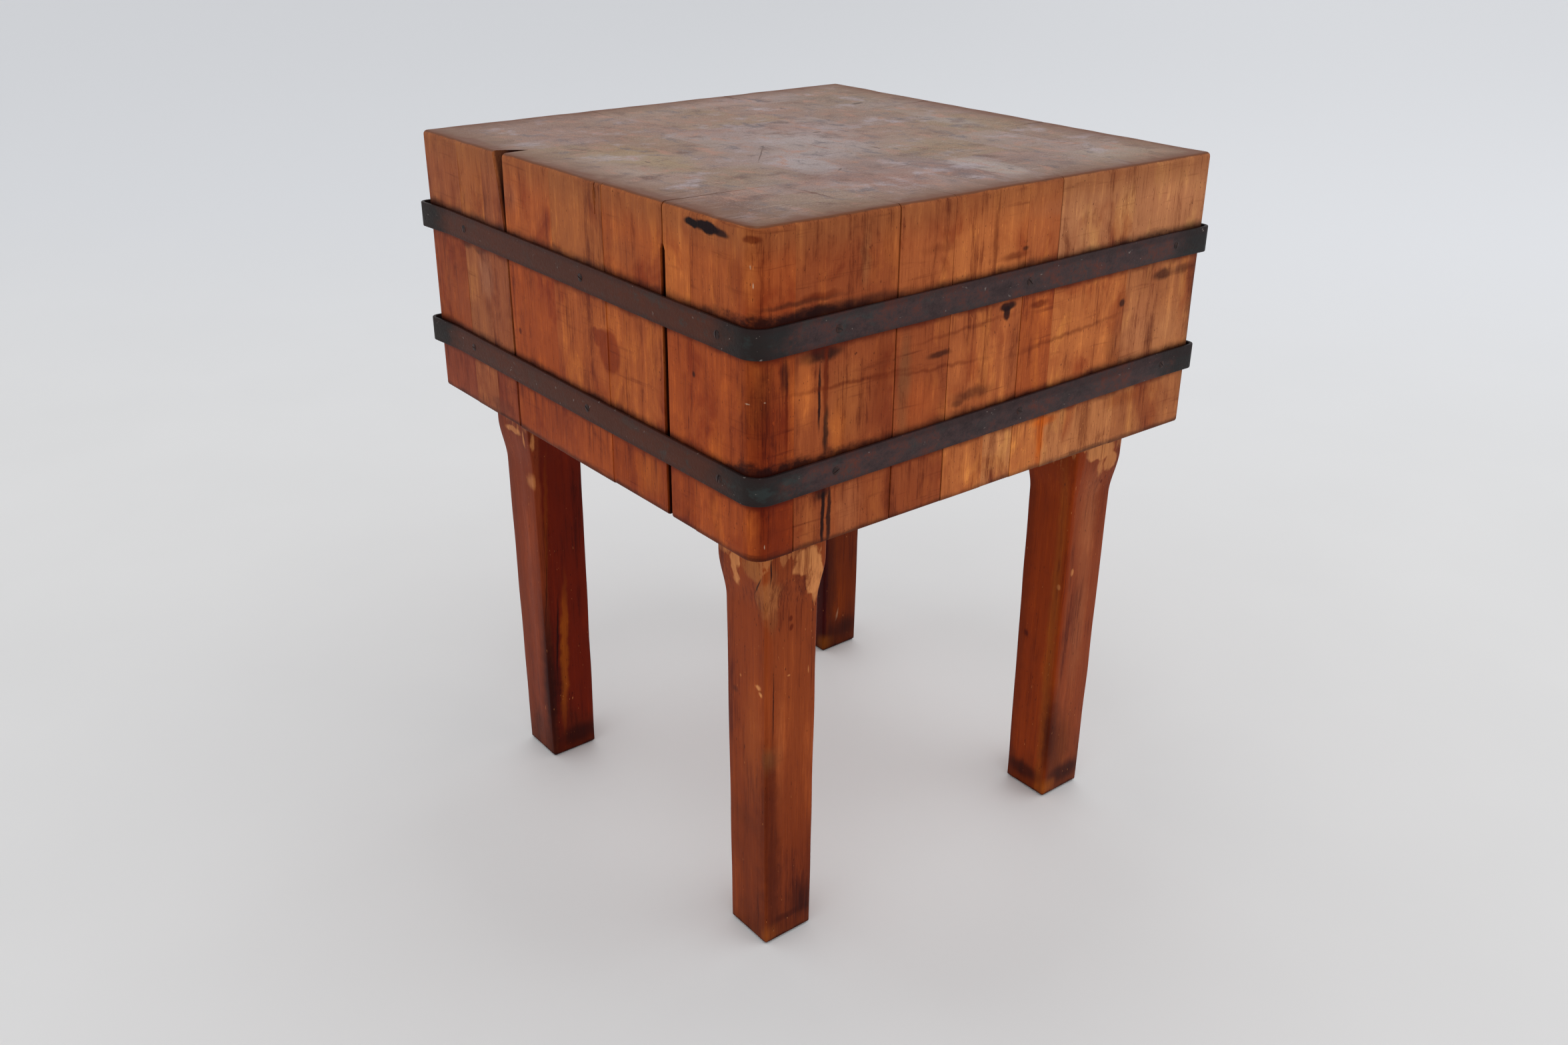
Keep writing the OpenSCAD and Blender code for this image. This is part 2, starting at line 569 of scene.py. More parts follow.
def piece_from(bm: bmesh.types.BMesh, name: str, sharp: float = 38) -> bpy.types.Object:
    """Turns a finished mesh into a piece at the origin, smooth but for its sharp edges.

    Args:
        bm: The mesh, which is freed.
        name: The piece's name.
        sharp: The angle in degrees past which an edge stays sharp.

    Returns:
        The piece.
    """
    bmesh.ops.recalc_face_normals(bm, faces=bm.faces[:])
    mesh = bpy.data.meshes.new(name)
    bm.to_mesh(mesh)
    bm.free()
    mesh.shade_smooth()
    mesh.set_sharp_from_angle(angle=math.radians(sharp))
    piece = bpy.data.objects.new(name, mesh)
    bpy.context.scene.collection.objects.link(piece)
    return piece


def carve(piece: bpy.types.Object, cutter: bmesh.types.BMesh) -> None:
    """Takes one closed shape out of a piece for good."""
    tool = piece_from(cutter, piece.name + "_cutter")
    carving = piece.modifiers.new("carving", "BOOLEAN")
    carving.object = tool
    carving.operation = "DIFFERENCE"
    carving.solver = "EXACT"
    bpy.context.view_layer.update()
    carved = bpy.data.meshes.new_from_object(piece.evaluated_get(bpy.context.evaluated_depsgraph_get()))
    piece.modifiers.remove(carving)
    piece.data = carved
    piece.data.name = piece.name
    bpy.data.objects.remove(tool)


def hand_over(piece: bpy.types.Object, node: str, finish: bpy.types.Material) -> None:
    """Puts a finished piece in the place of its part of the frame and reports it."""
    piece.data.materials.clear()
    piece.data.materials.append(finish)
    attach(piece, BODY)
    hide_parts(node)
    log.info("%s: %d faces, for %s", piece.name, len(piece.data.polygons), node)


# ---------------------------------------------------------------- colours


# The paint of the left faces is darker and warmer than that of the front ones, by this tint: painted shade
# that offsets the cooler sheen on the left faces.
LEFT_SHADE_TINT = (0.98, 0.86, 0.68, 1.0)
# What turns any wood into its own darkest streaks.
DARK_TINT = (0.42, 0.27, 0.22, 1)
# The light that varnish throws back over any paint, and how strongly the sides and the top are lit.
SHEEN = 0.010
SIDE_LIGHT = 0.78
TOP_LIGHT = 1.0
# The shader's specular level for varnished wood.
WOOD_SHINE = 0.08


def shown(seen: Sequence[int], light: float) -> Colour:
    """Works back from a colour as it shows in the studio to the paint that gives it.

    Args:
        seen: Red, green and blue as they show, 0 to 255.
        light: How strongly such a face is lit, 1 for a white that shows white.

    Returns:
        The linear colour of the paint.
    """
    *levels, alpha = rgb(*seen)
    return tuple(max(0.0, (level - SHEEN) / light) for level in levels) + (alpha,)


def side(red: int, green: int, blue: int) -> Colour:
    """The paint for an upright face that is to show this colour."""
    return shown((red, green, blue), SIDE_LIGHT)


def top(red: int, green: int, blue: int) -> Colour:
    """The paint for the block's top that is to show this colour."""
    return shown((red, green, blue), TOP_LIGHT)


class Board(Enum):
    """The colours that the varnished boards show, from the darkest to the palest."""

    OXBLOOD = (117, 50, 30)
    MAROON = (134, 64, 36)
    UMBER = (126, 64, 46)
    RUSSET = (134, 69, 42)
    CHESTNUT = (146, 73, 41)
    WALNUT = (137, 80, 55)
    DUSTY = (138, 84, 58)
    AMBER = (152, 83, 49)
    TAN = (150, 90, 56)
    COPPER = (166, 95, 54)
    HONEY = (160, 104, 70)
    STRAW = (168, 106, 66)

    @property
    def colour(self) -> Colour:
        """The board's colour for a shader."""
        return side(*self.value)


class EndGrain(Enum):
    """The colours that the scrubbed end grain shows on top, their grey-mauve cast partly painted sheen."""

    MAUVE = (150, 124, 118)
    ROSE = (146, 114, 101)
    TAUPE = (147, 124, 108)
    ASH = (160, 142, 139)
    OLIVE = (150, 125, 96)
    UMBER = (134, 106, 95)

    @property
    def colour(self) -> Colour:
        """The grain's colour for a shader."""
        return top(*self.value)


@dataclass(frozen=True)
class StaveLook:
    """One stave's colours: over, between and under the bands, on its end, and on its left face."""

    over: Board
    between: Board
    under: Board
    end: EndGrain
    left: Board | None = None


LOOKS = {
    "stave_a1": StaveLook(Board.CHESTNUT, Board.MAROON, Board.OXBLOOD, EndGrain.UMBER, Board.CHESTNUT),
    "stave_a2": StaveLook(Board.RUSSET, Board.RUSSET, Board.RUSSET, EndGrain.TAUPE),
    "stave_a3": StaveLook(Board.AMBER, Board.RUSSET, Board.RUSSET, EndGrain.ROSE),
    "stave_a4": StaveLook(Board.COPPER, Board.AMBER, Board.COPPER, EndGrain.MAUVE),
    "stave_a5": StaveLook(Board.COPPER, Board.AMBER, Board.STRAW, EndGrain.UMBER),
    "stave_a6": StaveLook(Board.AMBER, Board.CHESTNUT, Board.COPPER, EndGrain.ASH),
    "stave_a7": StaveLook(Board.HONEY, Board.COPPER, Board.STRAW, EndGrain.TAUPE),
    "stave_a8": StaveLook(Board.HONEY, Board.TAN, Board.TAN, EndGrain.OLIVE),
    "stave_b1": StaveLook(Board.COPPER, Board.CHESTNUT, Board.MAROON, EndGrain.ROSE),
    "stave_c1": StaveLook(Board.AMBER, Board.AMBER, Board.MAROON, EndGrain.ROSE),
    "stave_c2": StaveLook(Board.AMBER, Board.AMBER, Board.AMBER, EndGrain.TAUPE),
    "stave_c3": StaveLook(Board.AMBER, Board.AMBER, Board.AMBER, EndGrain.ASH),
    "stave_c4": StaveLook(Board.AMBER, Board.AMBER, Board.AMBER, EndGrain.MAUVE),
    "stave_d1": StaveLook(Board.TAN, Board.AMBER, Board.CHESTNUT, EndGrain.OLIVE),
    "stave_d2": StaveLook(Board.TAN, Board.CHESTNUT, Board.RUSSET, EndGrain.MAUVE),
    "stave_d3": StaveLook(Board.TAN, Board.CHESTNUT, Board.RUSSET, EndGrain.ASH),
    "stave_e1": StaveLook(Board.AMBER, Board.CHESTNUT, Board.MAROON, EndGrain.OLIVE),
    "stave_f1": StaveLook(Board.WALNUT, Board.WALNUT, Board.UMBER, EndGrain.MAUVE),
    "stave_g1": StaveLook(Board.TAN, Board.DUSTY, Board.WALNUT, EndGrain.ROSE),
    "stave_h1": StaveLook(Board.WALNUT, Board.RUSSET, Board.UMBER, EndGrain.UMBER),
}


@dataclass(frozen=True)
class Mark:
    """A stain, scorch, drip or fleck on the wood, or a patch of painted shade, highlight or sheen: a
    soft-edged blot round a place.

    Attributes:
        at: Its middle.
        half: Its half size along each axis.
        colour: The colour that it leaves.
        strength: How much it hides, 0 to 1.
        soft: How gradually its edge fades, as a share of its size.
        stir: How far its outline strays, in metres.
        turn: Its turn about each axis, in radians.
    """

    at: tuple[float, float, float]
    half: tuple[float, float, float]
    colour: Colour
    strength: float = 1.0
    soft: float = 0.35
    stir: float = 6 * MM
    turn: tuple[float, float, float] = (0.0, 0.0, 0.0)

    @property
    def on_top(self) -> bool:
        """Says whether the mark lies on the block's top."""
        return abs(self.at[2] - BLOCK.high.z) < TINY

    @property
    def box(self) -> Box:
        """The box that the mark can reach."""
        half = Vector(self.half) if not any(self.turn) else Vector((max(self.half),) * 3)
        reach = half * (1 + self.soft) + Vector((self.stir,) * 3)
        return Box(Vector(self.at) - reach, Vector(self.at) + reach)


SOOT = side(34, 26, 27)
GRIME = side(62, 34, 28)
BLOOD_BROWN = side(92, 38, 24)
FLECK = side(196, 176, 150)
RAW_WOOD = side(188, 122, 74)
# How deep a mark goes into the block and into a leg, and how far a shaft stands inside its shoulder's box.
SKIN = 12 * MM
LEG_SKIN = SKIN * 1.4
LEG_INSET = 8 * MM


def on_front(x: float, z: float, wide: float, tall: float, colour: Colour, strength: float = 1.0,
             soft: float = 0.35, stir: float = 4, lean: float = 0.0) -> Mark:
    """Makes a mark on the front face from its place and half sizes, in millimetres."""
    half = (wide * MM, SKIN, tall * MM)
    return Mark((x * MM, BLOCK.low.y, z * MM), half, colour, strength, soft, stir * MM, (0.0, lean, 0.0))


def on_left(y: float, z: float, wide: float, tall: float, colour: Colour, strength: float = 1.0,
            soft: float = 0.35, stir: float = 4, lean: float = 0.0) -> Mark:
    """Makes a mark on the left face from its place and half sizes, in millimetres."""
    half = (SKIN, wide * MM, tall * MM)
    return Mark((BLOCK.low.x, y * MM, z * MM), half, colour, strength, soft, stir * MM, (lean, 0.0, 0.0))


def on_top(x: float, y: float, wide: float, deep: float, colour: Colour, strength: float = 1.0,
           soft: float = 0.35, stir: float = 4, turn: float = 0.0) -> Mark:
    """Makes a mark on the top from its place and half sizes, in millimetres."""
    half = (wide * MM, deep * MM, SKIN)
    return Mark((x * MM, y * MM, BLOCK.high.z), half, colour, strength, soft, stir * MM, (0.0, 0.0, turn))


MARKS = (
    # the burn by the near corner, and the stains of the left face
    on_left(-238, 868, 12, 4.5, SOOT, 1.0, 0.25),
    on_left(-263, 868, 20, 6, SOOT, 1.0, 0.25, 5),
    on_left(-284, 866, 12, 4, SOOT, 0.9, 0.4),
    on_left(-327, 868, 9, 4, BLOOD_BROWN, 0.8),
    on_left(-308, 828, 14, 20, side(122, 58, 34), 0.6, 0.4),
    on_left(-66, 728, 34, 12, side(170, 94, 50), 0.5, 0.8, 9),
    on_left(-80, 698, 20, 24, side(122, 54, 32), 0.95, 0.16, 2),
    on_left(-62, 710, 14, 9, side(122, 54, 32), 0.95, 0.2, 2, -0.6),
    on_left(-53, 714, 6, 6, side(122, 54, 32), 0.9, 0.3, 2),
    on_left(-236, 717, 2.4, 3, SOOT, 0.8, 0.5, 1),
    on_left(118, 672, 3, 3.5, BLOOD_BROWN, 0.9, 0.5, 1),
    on_left(238, 752, 10, 6, SOOT, 0.6, 0.6),
    on_left(205, 748, 12, 3, SOOT, 0.5, 0.6),
    on_left(275, 700, 26, 34, side(118, 56, 36), 0.4, 0.6, 8),
    on_left(195, 722, 16, 26, side(152, 100, 74), 0.5, 0.6, 8),
    on_left(120, 830, 20, 14, side(132, 76, 52), 0.5, 0.6, 8),
    on_left(-110, 815, 30, 16, side(124, 68, 44), 0.4, 0.7, 8),
    on_left(180, 560, 26, 8, side(96, 52, 42), 0.5, 0.7, 6),
    on_left(20, 585, 26, 20, side(118, 52, 32), 0.5, 0.7, 8),
    on_left(-150, 580, 24, 18, side(160, 84, 40), 0.5, 0.7, 8),
    # painted shade inside the split
    Mark((BLOCK.low.x + 26 * MM, 140 * MM, 832 * MM), (24 * MM, 13 * MM, 62 * MM),
         side(58, 32, 18), 0.9, 0.3, 2 * MM),
    # the front face: smears over the upper band
    on_front(-275, 803, 44, 2.4, GRIME, 0.7, 0.7),
    on_front(-252, 806, 22, 3, BLOOD_BROWN, 0.6, 0.7),
    on_front(-210, 792, 60, 5, SOOT, 0.55, 0.7),
    on_front(-280, 790, 30, 7, SOOT, 0.6, 0.6),
    on_front(-19, 820, 3.5, 42, BLOOD_BROWN, 0.6, 0.8, 5),
    on_front(12, 802, 18, 3.5, BLOOD_BROWN, 0.65, 0.7),
    on_front(27, 808, 4, 2.5, SOOT, 0.7, 0.6, 2),
    on_front(-100, 828, 20, 4, BLOOD_BROWN, 0.35, 0.9),
    on_front(-196, 835, 5, 24, side(150, 96, 60), 0.6, 0.7, 6),
    on_front(120, 845, 60, 8, side(150, 96, 66), 0.4, 0.8, 8),
    on_front(262, 830, 40, 16, side(172, 112, 76), 0.45, 0.8, 8),
    # between the bands: drips, splashes and knots
    on_front(-250, 748, 26, 8, SOOT, 0.85, 0.4, 6),
    on_front(-292, 700, 1.8, 54, BLOOD_BROWN, 0.9, 0.6, 3),
    on_front(-294, 735, 5, 16, SOOT, 0.6, 0.6, 3),
    on_front(-251, 705, 1.8, 32, SOOT, 0.95, 0.4, 2),
    on_front(-243, 715, 3.0, 45, BLOOD_BROWN, 0.9, 0.5, 3),
    on_front(-242, 668, 3.4, 24, SOOT, 0.9, 0.5, 3),
    on_front(-215, 690, 22, 40, side(158, 92, 52), 0.5, 0.7, 8),
    on_front(-268, 715, 12, 30, side(176, 96, 50), 0.65, 0.6, 8),
    on_front(-226, 665, 8, 24, side(176, 96, 46), 0.5, 0.7, 6),
    on_front(-170, 715, 12, 34, BLOOD_BROWN, 0.5, 0.8, 6),
    on_front(-140, 690, 8, 50, side(112, 74, 50), 0.6, 0.6, 4),
    on_front(7, 749, 12, 5, SOOT, 0.95, 0.3, 4),
    on_front(6, 742, 5, 8, SOOT, 0.95, 0.3, 4),
    on_front(54, 743, 14, 4, BLOOD_BROWN, 0.75, 0.5),
    on_front(-92, 716, 15, 3.4, GRIME, 0.85, 0.5, 3),
    on_front(-40, 662, 26, 6, GRIME, 0.6, 0.6, 6),
    on_front(-62, 655, 8, 4, GRIME, 0.6, 0.6, 4),
    on_front(195, 720, 9, 11, side(120, 52, 26), 0.5, 0.6, 3),
    on_front(195, 719, 4.5, 4.5, SOOT, 0.9, 0.4, 2),
    on_front(262, 741, 16, 6, GRIME, 0.8, 0.5, 5),
    on_front(303, 742, 20, 5, GRIME, 0.65, 0.7, 5),
    on_front(318, 735, 10, 14, BLOOD_BROWN, 0.5, 0.8),
    on_front(-205, 711, 70, 2.2, BLOOD_BROWN, 0.6, 0.8, 6, 0.03),
    on_front(-95, 702, 60, 2.0, BLOOD_BROWN, 0.5, 0.8, 6, 0.06),
    on_front(110, 700, 80, 2.4, BLOOD_BROWN, 0.5, 0.9, 6, -0.08),
    on_front(-60, 736, 60, 2.0, BLOOD_BROWN, 0.45, 0.9, 6, -0.04),
    on_front(190, 662, 14, 44, BLOOD_BROWN, 0.5, 0.8, 6),
    on_front(-118, 668, 24, 22, side(160, 80, 44), 0.5, 0.8, 8),
    on_front(262, 668, 50, 26, side(180, 120, 78), 0.5, 0.9, 8),
    # a dark stripe down the right edge of the front face
    on_front(328, 690, 7, 110, GRIME, 0.7, 0.9, 5),
    on_front(-322, 712, 10, 40, SOOT, 0.4, 0.9, 6),
    on_left(-322, 690, 12, 60, BLOOD_BROWN, 0.45, 0.9, 6),
    on_front(250, 668, 8, 20, BLOOD_BROWN, 0.55, 0.8, 6),
    on_front(225, 690, 26, 40, side(176, 112, 76), 0.35, 0.8, 8),
    on_front(-310, 655, 18, 60, side(104, 38, 24), 0.6, 0.8),
    # under the lower band
    on_front(-244, 578, 2.6, 40, SOOT, 0.95, 0.4, 3),
    on_front(-236, 575, 2.6, 36, SOOT, 0.9, 0.4, 3),
    on_front(-246, 602, 9, 8, SOOT, 0.8, 0.5, 4),
    on_front(-156, 580, 6, 40, BLOOD_BROWN, 0.6, 0.8, 4),
    on_front(-262, 570, 9, 34, side(156, 88, 50), 0.6, 0.7, 6),
    on_front(-210, 575, 16, 34, side(158, 94, 60), 0.5, 0.7, 8),
    on_front(-115, 560, 30, 24, side(130, 62, 38), 0.4, 0.8, 8),
    on_front(75, 585, 5, 30, side(182, 84, 26), 0.7, 0.7, 4),
    on_front(80, 603, 18, 6, side(182, 84, 26), 0.7, 0.6, 4),
    on_front(150, 585, 8, 34, side(128, 66, 36), 0.4, 0.8, 5),
    on_front(225, 600, 40, 8, side(132, 66, 34), 0.6, 0.8, 6),
    on_front(245, 580, 30, 20, side(136, 74, 44), 0.4, 0.8, 8),
    on_front(-300, 590, 24, 60, side(104, 40, 26), 0.4, 0.8, 8),
    # pale flecks down the near corner, and a painted highlight on its rounding
    on_front(-331, 817, 0.5, 1.6, FLECK, 0.6, 0.6, 1.5),
    on_left(-326, 843, 0.5, 1.8, FLECK, 0.6, 0.6, 1.5),
    on_left(-328, 826, 0.5, 2.4, FLECK, 0.5, 0.6, 1.5),
    on_left(-322, 711, 2.2, 0.7, FLECK, 0.5, 0.6, 1.2),
    on_front(-317, 713, 0.9, 0.7, FLECK, 0.5, 0.6, 1.2),
    on_front(-317, 562, 0.4, 2, FLECK, 0.5, 0.6, 1.2),
    # painted highlight: a pale strip down the near corner's rounding
    on_front(-329, 838, 3, 30, side(184, 108, 58), 0.5, 0.9, 4),
    # the top: patches, the pale grey ones partly painted sheen, nicks and cuts
    on_top(-215, 20, 42, 84, top(160, 137, 106), 0.75, 0.45, 14),
    on_top(-205, 62, 16, 26, top(170, 146, 106), 0.6, 0.6, 10),
    on_top(-92, -118, 27, 48, top(166, 152, 150), 0.75, 0.12, 1),
    on_top(60, -240, 25, 56, top(172, 156, 146), 0.7, 0.12, 1),
    on_top(12, -238, 26, 60, top(126, 98, 92), 0.8, 0.16, 2),
    on_top(-285, 285, 60, 44, top(126, 94, 80), 0.6, 0.9, 18),
    on_top(-180, 285, 60, 30, top(132, 100, 90), 0.6, 0.9, 18),
    on_top(-180, 190, 56, 44, top(140, 104, 92), 0.55, 0.9, 18),
    on_top(-80, 230, 60, 60, top(156, 124, 114), 0.6, 0.9, 18),
    on_top(110, 285, 70, 30, top(172, 144, 136), 0.6, 0.9, 18),
    on_top(222, 230, 60, 60, top(126, 104, 90), 0.6, 0.9, 18),
    on_top(-180, 80, 44, 50, top(146, 110, 84), 0.55, 0.9, 18),
    on_top(20, 10, 56, 44, top(174, 160, 158), 0.6, 0.9, 18),
    on_top(-30, -75, 90, 36, top(170, 156, 156), 0.6, 0.9, 18),
    on_top(-282, -60, 36, 60, top(166, 142, 130), 0.7, 0.9, 18),
    on_top(-282, -165, 36, 36, top(138, 106, 92), 0.5, 0.9, 18),
    on_top(-40, -165, 100, 30, top(132, 110, 104), 0.55, 0.9, 18),
    on_top(-288, -255, 46, 56, top(118, 84, 68), 0.7, 0.9, 18),
    on_top(130, -258, 40, 40, top(132, 112, 106), 0.55, 0.9, 14),
    on_top(225, -255, 44, 50, top(166, 150, 142), 0.5, 0.9, 14),
    on_top(10, 190, 60, 40, top(152, 120, 106), 0.5, 0.7, 18),
    on_top(-240, 250, 80, 60, top(146, 114, 100), 0.55, 0.7, 18),
    on_top(-40, 20, 80, 90, top(160, 144, 140), 0.45, 0.8, 18),
    on_top(180, 150, 80, 90, top(146, 124, 106), 0.5, 0.8, 18),
    on_top(150, -60, 80, 70, top(150, 128, 104), 0.5, 0.8, 18),
    on_top(240, 10, 20, 60, top(164, 152, 148), 0.5, 0.5, 8),
    on_top(126, 202, 4, 6, top(78, 52, 42), 0.9, 0.4, 2),
    on_top(232, 174, 12, 4, top(80, 54, 44), 0.95, 0.4, 3, 0.15),
    on_top(49, 38, 7, 3, top(84, 58, 48), 0.9, 0.4, 2),
    on_top(20, 46, 20, 0.9, top(110, 84, 72), 0.8, 0.6, 1.5, 0.1),
    on_top(37, -85, 1.6, 9, top(84, 58, 48), 0.9, 0.4, 1.5),
    on_top(-186, -250, 1.5, 26, top(96, 52, 40), 0.85, 0.5, 2),
    on_top(-186, -242, 4, 5, top(110, 70, 56), 0.8, 0.5, 2),
    on_top(-95, -38, 44, 0.8, top(92, 64, 54), 0.85, 0.5, 1, 0.86),
    on_top(-66, -4, 1.6, 7, top(84, 58, 48), 0.9, 0.5, 1.5, -0.5),
    on_top(-84, -162, 7, 1.2, top(84, 56, 46), 0.9, 0.5, 1.5, 0.6),
    on_top(-11, -40, 1.6, 24, top(158, 104, 90), 0.7, 0.6, 2),
    on_top(-293, -163, 22, 1.4, top(98, 70, 56), 0.85, 0.5, 1.5),
    on_top(-100, -62, 14, 1.6, top(120, 80, 66), 0.6, 0.6, 2),
    on_top(148, -200, 1.2, 14, top(104, 76, 62), 0.6, 0.6, 1.5, -0.3),
    on_top(-226, -6, 1.6, 5, top(84, 58, 48), 0.9, 0.5, 1.5),
)


# ---------------------------------------------------------------- finishes


@dataclass(frozen=True)
class BlockWood:
    """The finish of one stave: varnished long grain on its sides, scrubbed end grain on top."""

    name: str
    look: StaveLook
    seed: float
    faces: tuple[Face, ...]
    marks: tuple[Mark, ...] = ()
    roughness: float = 0.5

    def material(self) -> bpy.types.Material:
        """Builds the stave's material; a stave inside the block shows only its ends."""
        net = Net(self.name)
        drift = (self.seed * 3.1, self.seed * 5.7, self.seed * 1.9)
        stir = net.stir()
        cloud = net.grain((11, 11, 8), drift, 3, 0.55)
        ends, end_mask, end_relief = self.end_grain(net, cloud, stir)
        if self.faces:
            streak = net.grain((70, 70, 4), drift, 4, 0.62, 0.3)
            fibre = net.grain((420, 420, 11), drift, 3, 0.7)
            colour = self.long_grain(net, cloud, streak, fibre, stir)
            colour = self.band_stain_and_shade(net, colour, cloud)
            # painted shade inside the open seams
            colour = self.seam_shade(net, colour)
            colour = net.mix(colour, ends, end_mask)
            height = (fibre * 0.6 + streak * 0.4) * (1 - end_mask) + end_relief * end_mask
        else:
            colour = net.mix(self.look.under.colour, ends, end_mask)
            height = end_relief
        rough = self.roughness + (cloud - 0.5) * 0.2
        return net.finish(colour, rough, WOOD_SHINE, height)

    def seam_shade(self, net: Net, colour: Value) -> Value:
        """Paints shade on the wood inside an open seam, away from the stave's outer faces, less of it near
        the top.
        """
        depth = None
        for face in self.faces:
            inward = ((net.x, net.y)[face.across] - face.edge(BLOCK)).size()
            depth = inward if depth is None else depth.least(inward)
        start = 8 * MM if len(self.faces) == 2 else 1 * MM
        # the painted shade in a seam eases near the top
        paler = net.z.between(BLOCK.high.z - 60 * MM, BLOCK.high.z - 10 * MM) * 0.3
        return net.mix(colour, side(34, 19, 14), depth.between(start, start + 3 * MM) * (0.95 - paler))

    def long_grain(self, net: Net, cloud: Value, streak: Value, fibre: Value, stir: Value) -> Value:
        """Colours the sides: three heights of board colour with their marks, streaked and smudged."""
        fade = 8 * MM
        between = self.look.between.colour
        under, over = self.look.under.colour, self.look.over.colour
        if self.look.left:
            leftward = net.x.between(BLOCK.low.x + 12 * MM, BLOCK.low.x + 3 * MM)
            between = net.mix(between, self.look.left.colour, leftward)
            under = net.mix(under, self.look.left.colour, leftward)
            over = net.mix(over, Board.AMBER.colour, leftward)
        base = net.mix(under, between, net.z.between(LOWER.middle.z - fade, LOWER.middle.z + fade))
        base = net.mix(base, over, net.z.between(UPPER.middle.z - fade, UPPER.middle.z + fade))
        if Face.LEFT in self.faces:
            # painted shade: the left faces are darkened and warmed against their cooler sheen
            lit = net.x.between(BLOCK.low.x + 12 * MM, BLOCK.low.x + 2 * MM)
            base = net.mix(base, net.tinted(base, LEFT_SHADE_TINT), lit)
        red = net.grain((15, 15, 11), (2, self.seed, 4), 4, 0.6, 0.6)
        base = net.mix(base, net.tinted(base, (0.62, 0.36, 0.28, 1)), red.between(0.5, 0.7) * 0.8)
        gold = net.grain((26, 26, 11), (self.seed, 7, 2), 5, 0.62, 0.5)
        base = net.mix(base, net.tinted(base, (1.35, 1.6, 1.35, 1)), gold.between(0.5, 0.7) * 0.8)
        patch = net.grain((34, 34, 17), (self.seed, 5, 1), 6, 0.68, 0.6)
        greasy = (net.z + (patch - 0.5) * 0.04).between(BLOCK.high.z - 44 * MM, BLOCK.high.z - 3 * MM)
        base = net.mix(base, side(132, 79, 49), greasy * 0.65)
        base = net.marked(base, [mark for mark in self.marks if not mark.on_top], stir)
        hair = net.grain((1100, 1100, 60), (0, self.seed, 1), 2, 0.6)
        tone = (streak - 0.5) * 1.35 + (patch - 0.5) * 1.5 + (fibre - 0.5) * 0.75 + (hair - 0.5) * 0.7 + 0.5
        dark = net.tinted(base, DARK_TINT)
        light = net.tinted(base, (1.5, 1.7, 1.6, 1))
        colour = net.mix(dark, base, tone.between(-0.1, 0.5))
        colour = net.mix(colour, light, tone.between(0.5, 1.15))
        smear = net.grain((9, 9, 150), (self.seed, 0, 0), 4, 0.65, 0.5, turn=(0.05, 0.07, 0))
        colour = net.mix(colour, dark, smear.between(0.55, 0.75) * cloud.between(0.4, 0.6) * 0.6)
        pits = net.grain((560, 560, 240), (self.seed, 2, 0), 1, 0.5)
        colour = net.mix(colour, GRIME, pits.between(0.71, 0.78) * 0.7)
        chips = net.grain((420, 420, 150), (3, self.seed, 0), 1, 0.5)
        return net.mix(colour, light, chips.between(0.72, 0.77) * 0.6)

    def band_stain_and_shade(self, net: Net, colour: Value, cloud: Value) -> Value:
        """Darkens the wood by the bands: a ragged near-black strip over each, and under each painted shade
        in a thin strip with a narrow brown run below it; the foot of the block is darkened too.
        """
        fringe = net.grain((38, 38, 60), (self.seed, 0, 0), 4, 0.6)
        runs = net.grain((150, 150, 4), (self.seed, 3, 0), 3, 0.65)
        near = net.x.between(BLOCK.low.x + 170 * MM, BLOCK.low.x + 40 * MM)
        near = near * net.y.between(BLOCK.low.y + 100 * MM, BLOCK.low.y)
        for _, band, lift in BANDS:
            level = net.z - lift * (net.x - BLOCK.low.x)
            reach = fringe.between(0.3, 0.8) * (4 * MM + near * 9 * MM)
            over = (level - reach).between(band.high.z + 9 * MM, band.high.z - 3 * MM)
            over = over * level.between(band.middle.z, band.high.z - 2 * MM)
            lower = level.between(band.middle.z, band.low.z)
            run = level.between(band.low.z - 46 * MM, band.low.z) * runs.between(0.5, 0.75)
            # painted shade: a thin dark strip just under each band's lower edge
            shade = (level + fringe * 0.012).between(band.low.z - 3 * MM, band.low.z + 7 * MM)
            colour = net.mix(colour, side(80, 32, 21), (shade * 0.85).most(run * 0.8) * lower)
            colour = net.mix(colour, side(36, 22, 20), over * 0.92)
        foot = (net.z + (fringe - 0.5) * 0.01).between(BLOCK.low.z + 8 * MM, BLOCK.low.z + 1 * MM)
        return net.mix(colour, side(52, 30, 26), foot * (0.4 + cloud * 0.6))

    def end_grain(self, net: Net, cloud: Value, stir: Value) -> tuple[Value, Value, Value]:
        """Colours the worn top: cloudy end grain with pale grey-mauve blotches partly painted sheen, browner
        at the rim, with scratches and nicks.

        Args:
            net: The material's nodes.
            cloud: The broad clouds that the sides share.
            stir: The noisy colour that breaks up the marks' outlines.

        Returns:
            The colour, how much of it shows, and its relief.
        """
        turn = (0, 0, self.seed * 7)
        rings = net.grain((30, 240, 1), (self.seed, 0, 0), 3, 0.65, 0.8, turn=turn)
        blotch = net.grain((19, 19, 19), (3, 1, 0), 5, 0.66)
        smudge = net.grain((48, 30, 10), (8, 4, 0), 4, 0.65, 0.6, turn=(0, 0, 0.6))
        facing = net.axes(net.node("ShaderNodeNewGeometry")["Normal"])[2]
        level = net.z.between(BLOCK.high.z - 30 * MM, BLOCK.high.z - 20 * MM)
        mask = (facing + (smudge - 0.5) * 0.5).between(0.6, 0.85) * level
        speck = net.grain((520, 520, 40), (0, 0, 0), 3, 0.7)
        shared = net.grain((6, 6, 6), (7, 2, 0), 3, 0.55)
        colour = net.mix(self.look.end.colour, top(148, 120, 108), 0.45)
        colour = net.mix(colour, top(144, 118, 90), shared.between(0.44, 0.62) * 0.55)
        colour = net.mix(colour, top(142, 96, 80), shared.between(0.47, 0.32) * 0.6)
        colour = net.marked(colour, [mark for mark in self.marks if mark.on_top], stir)
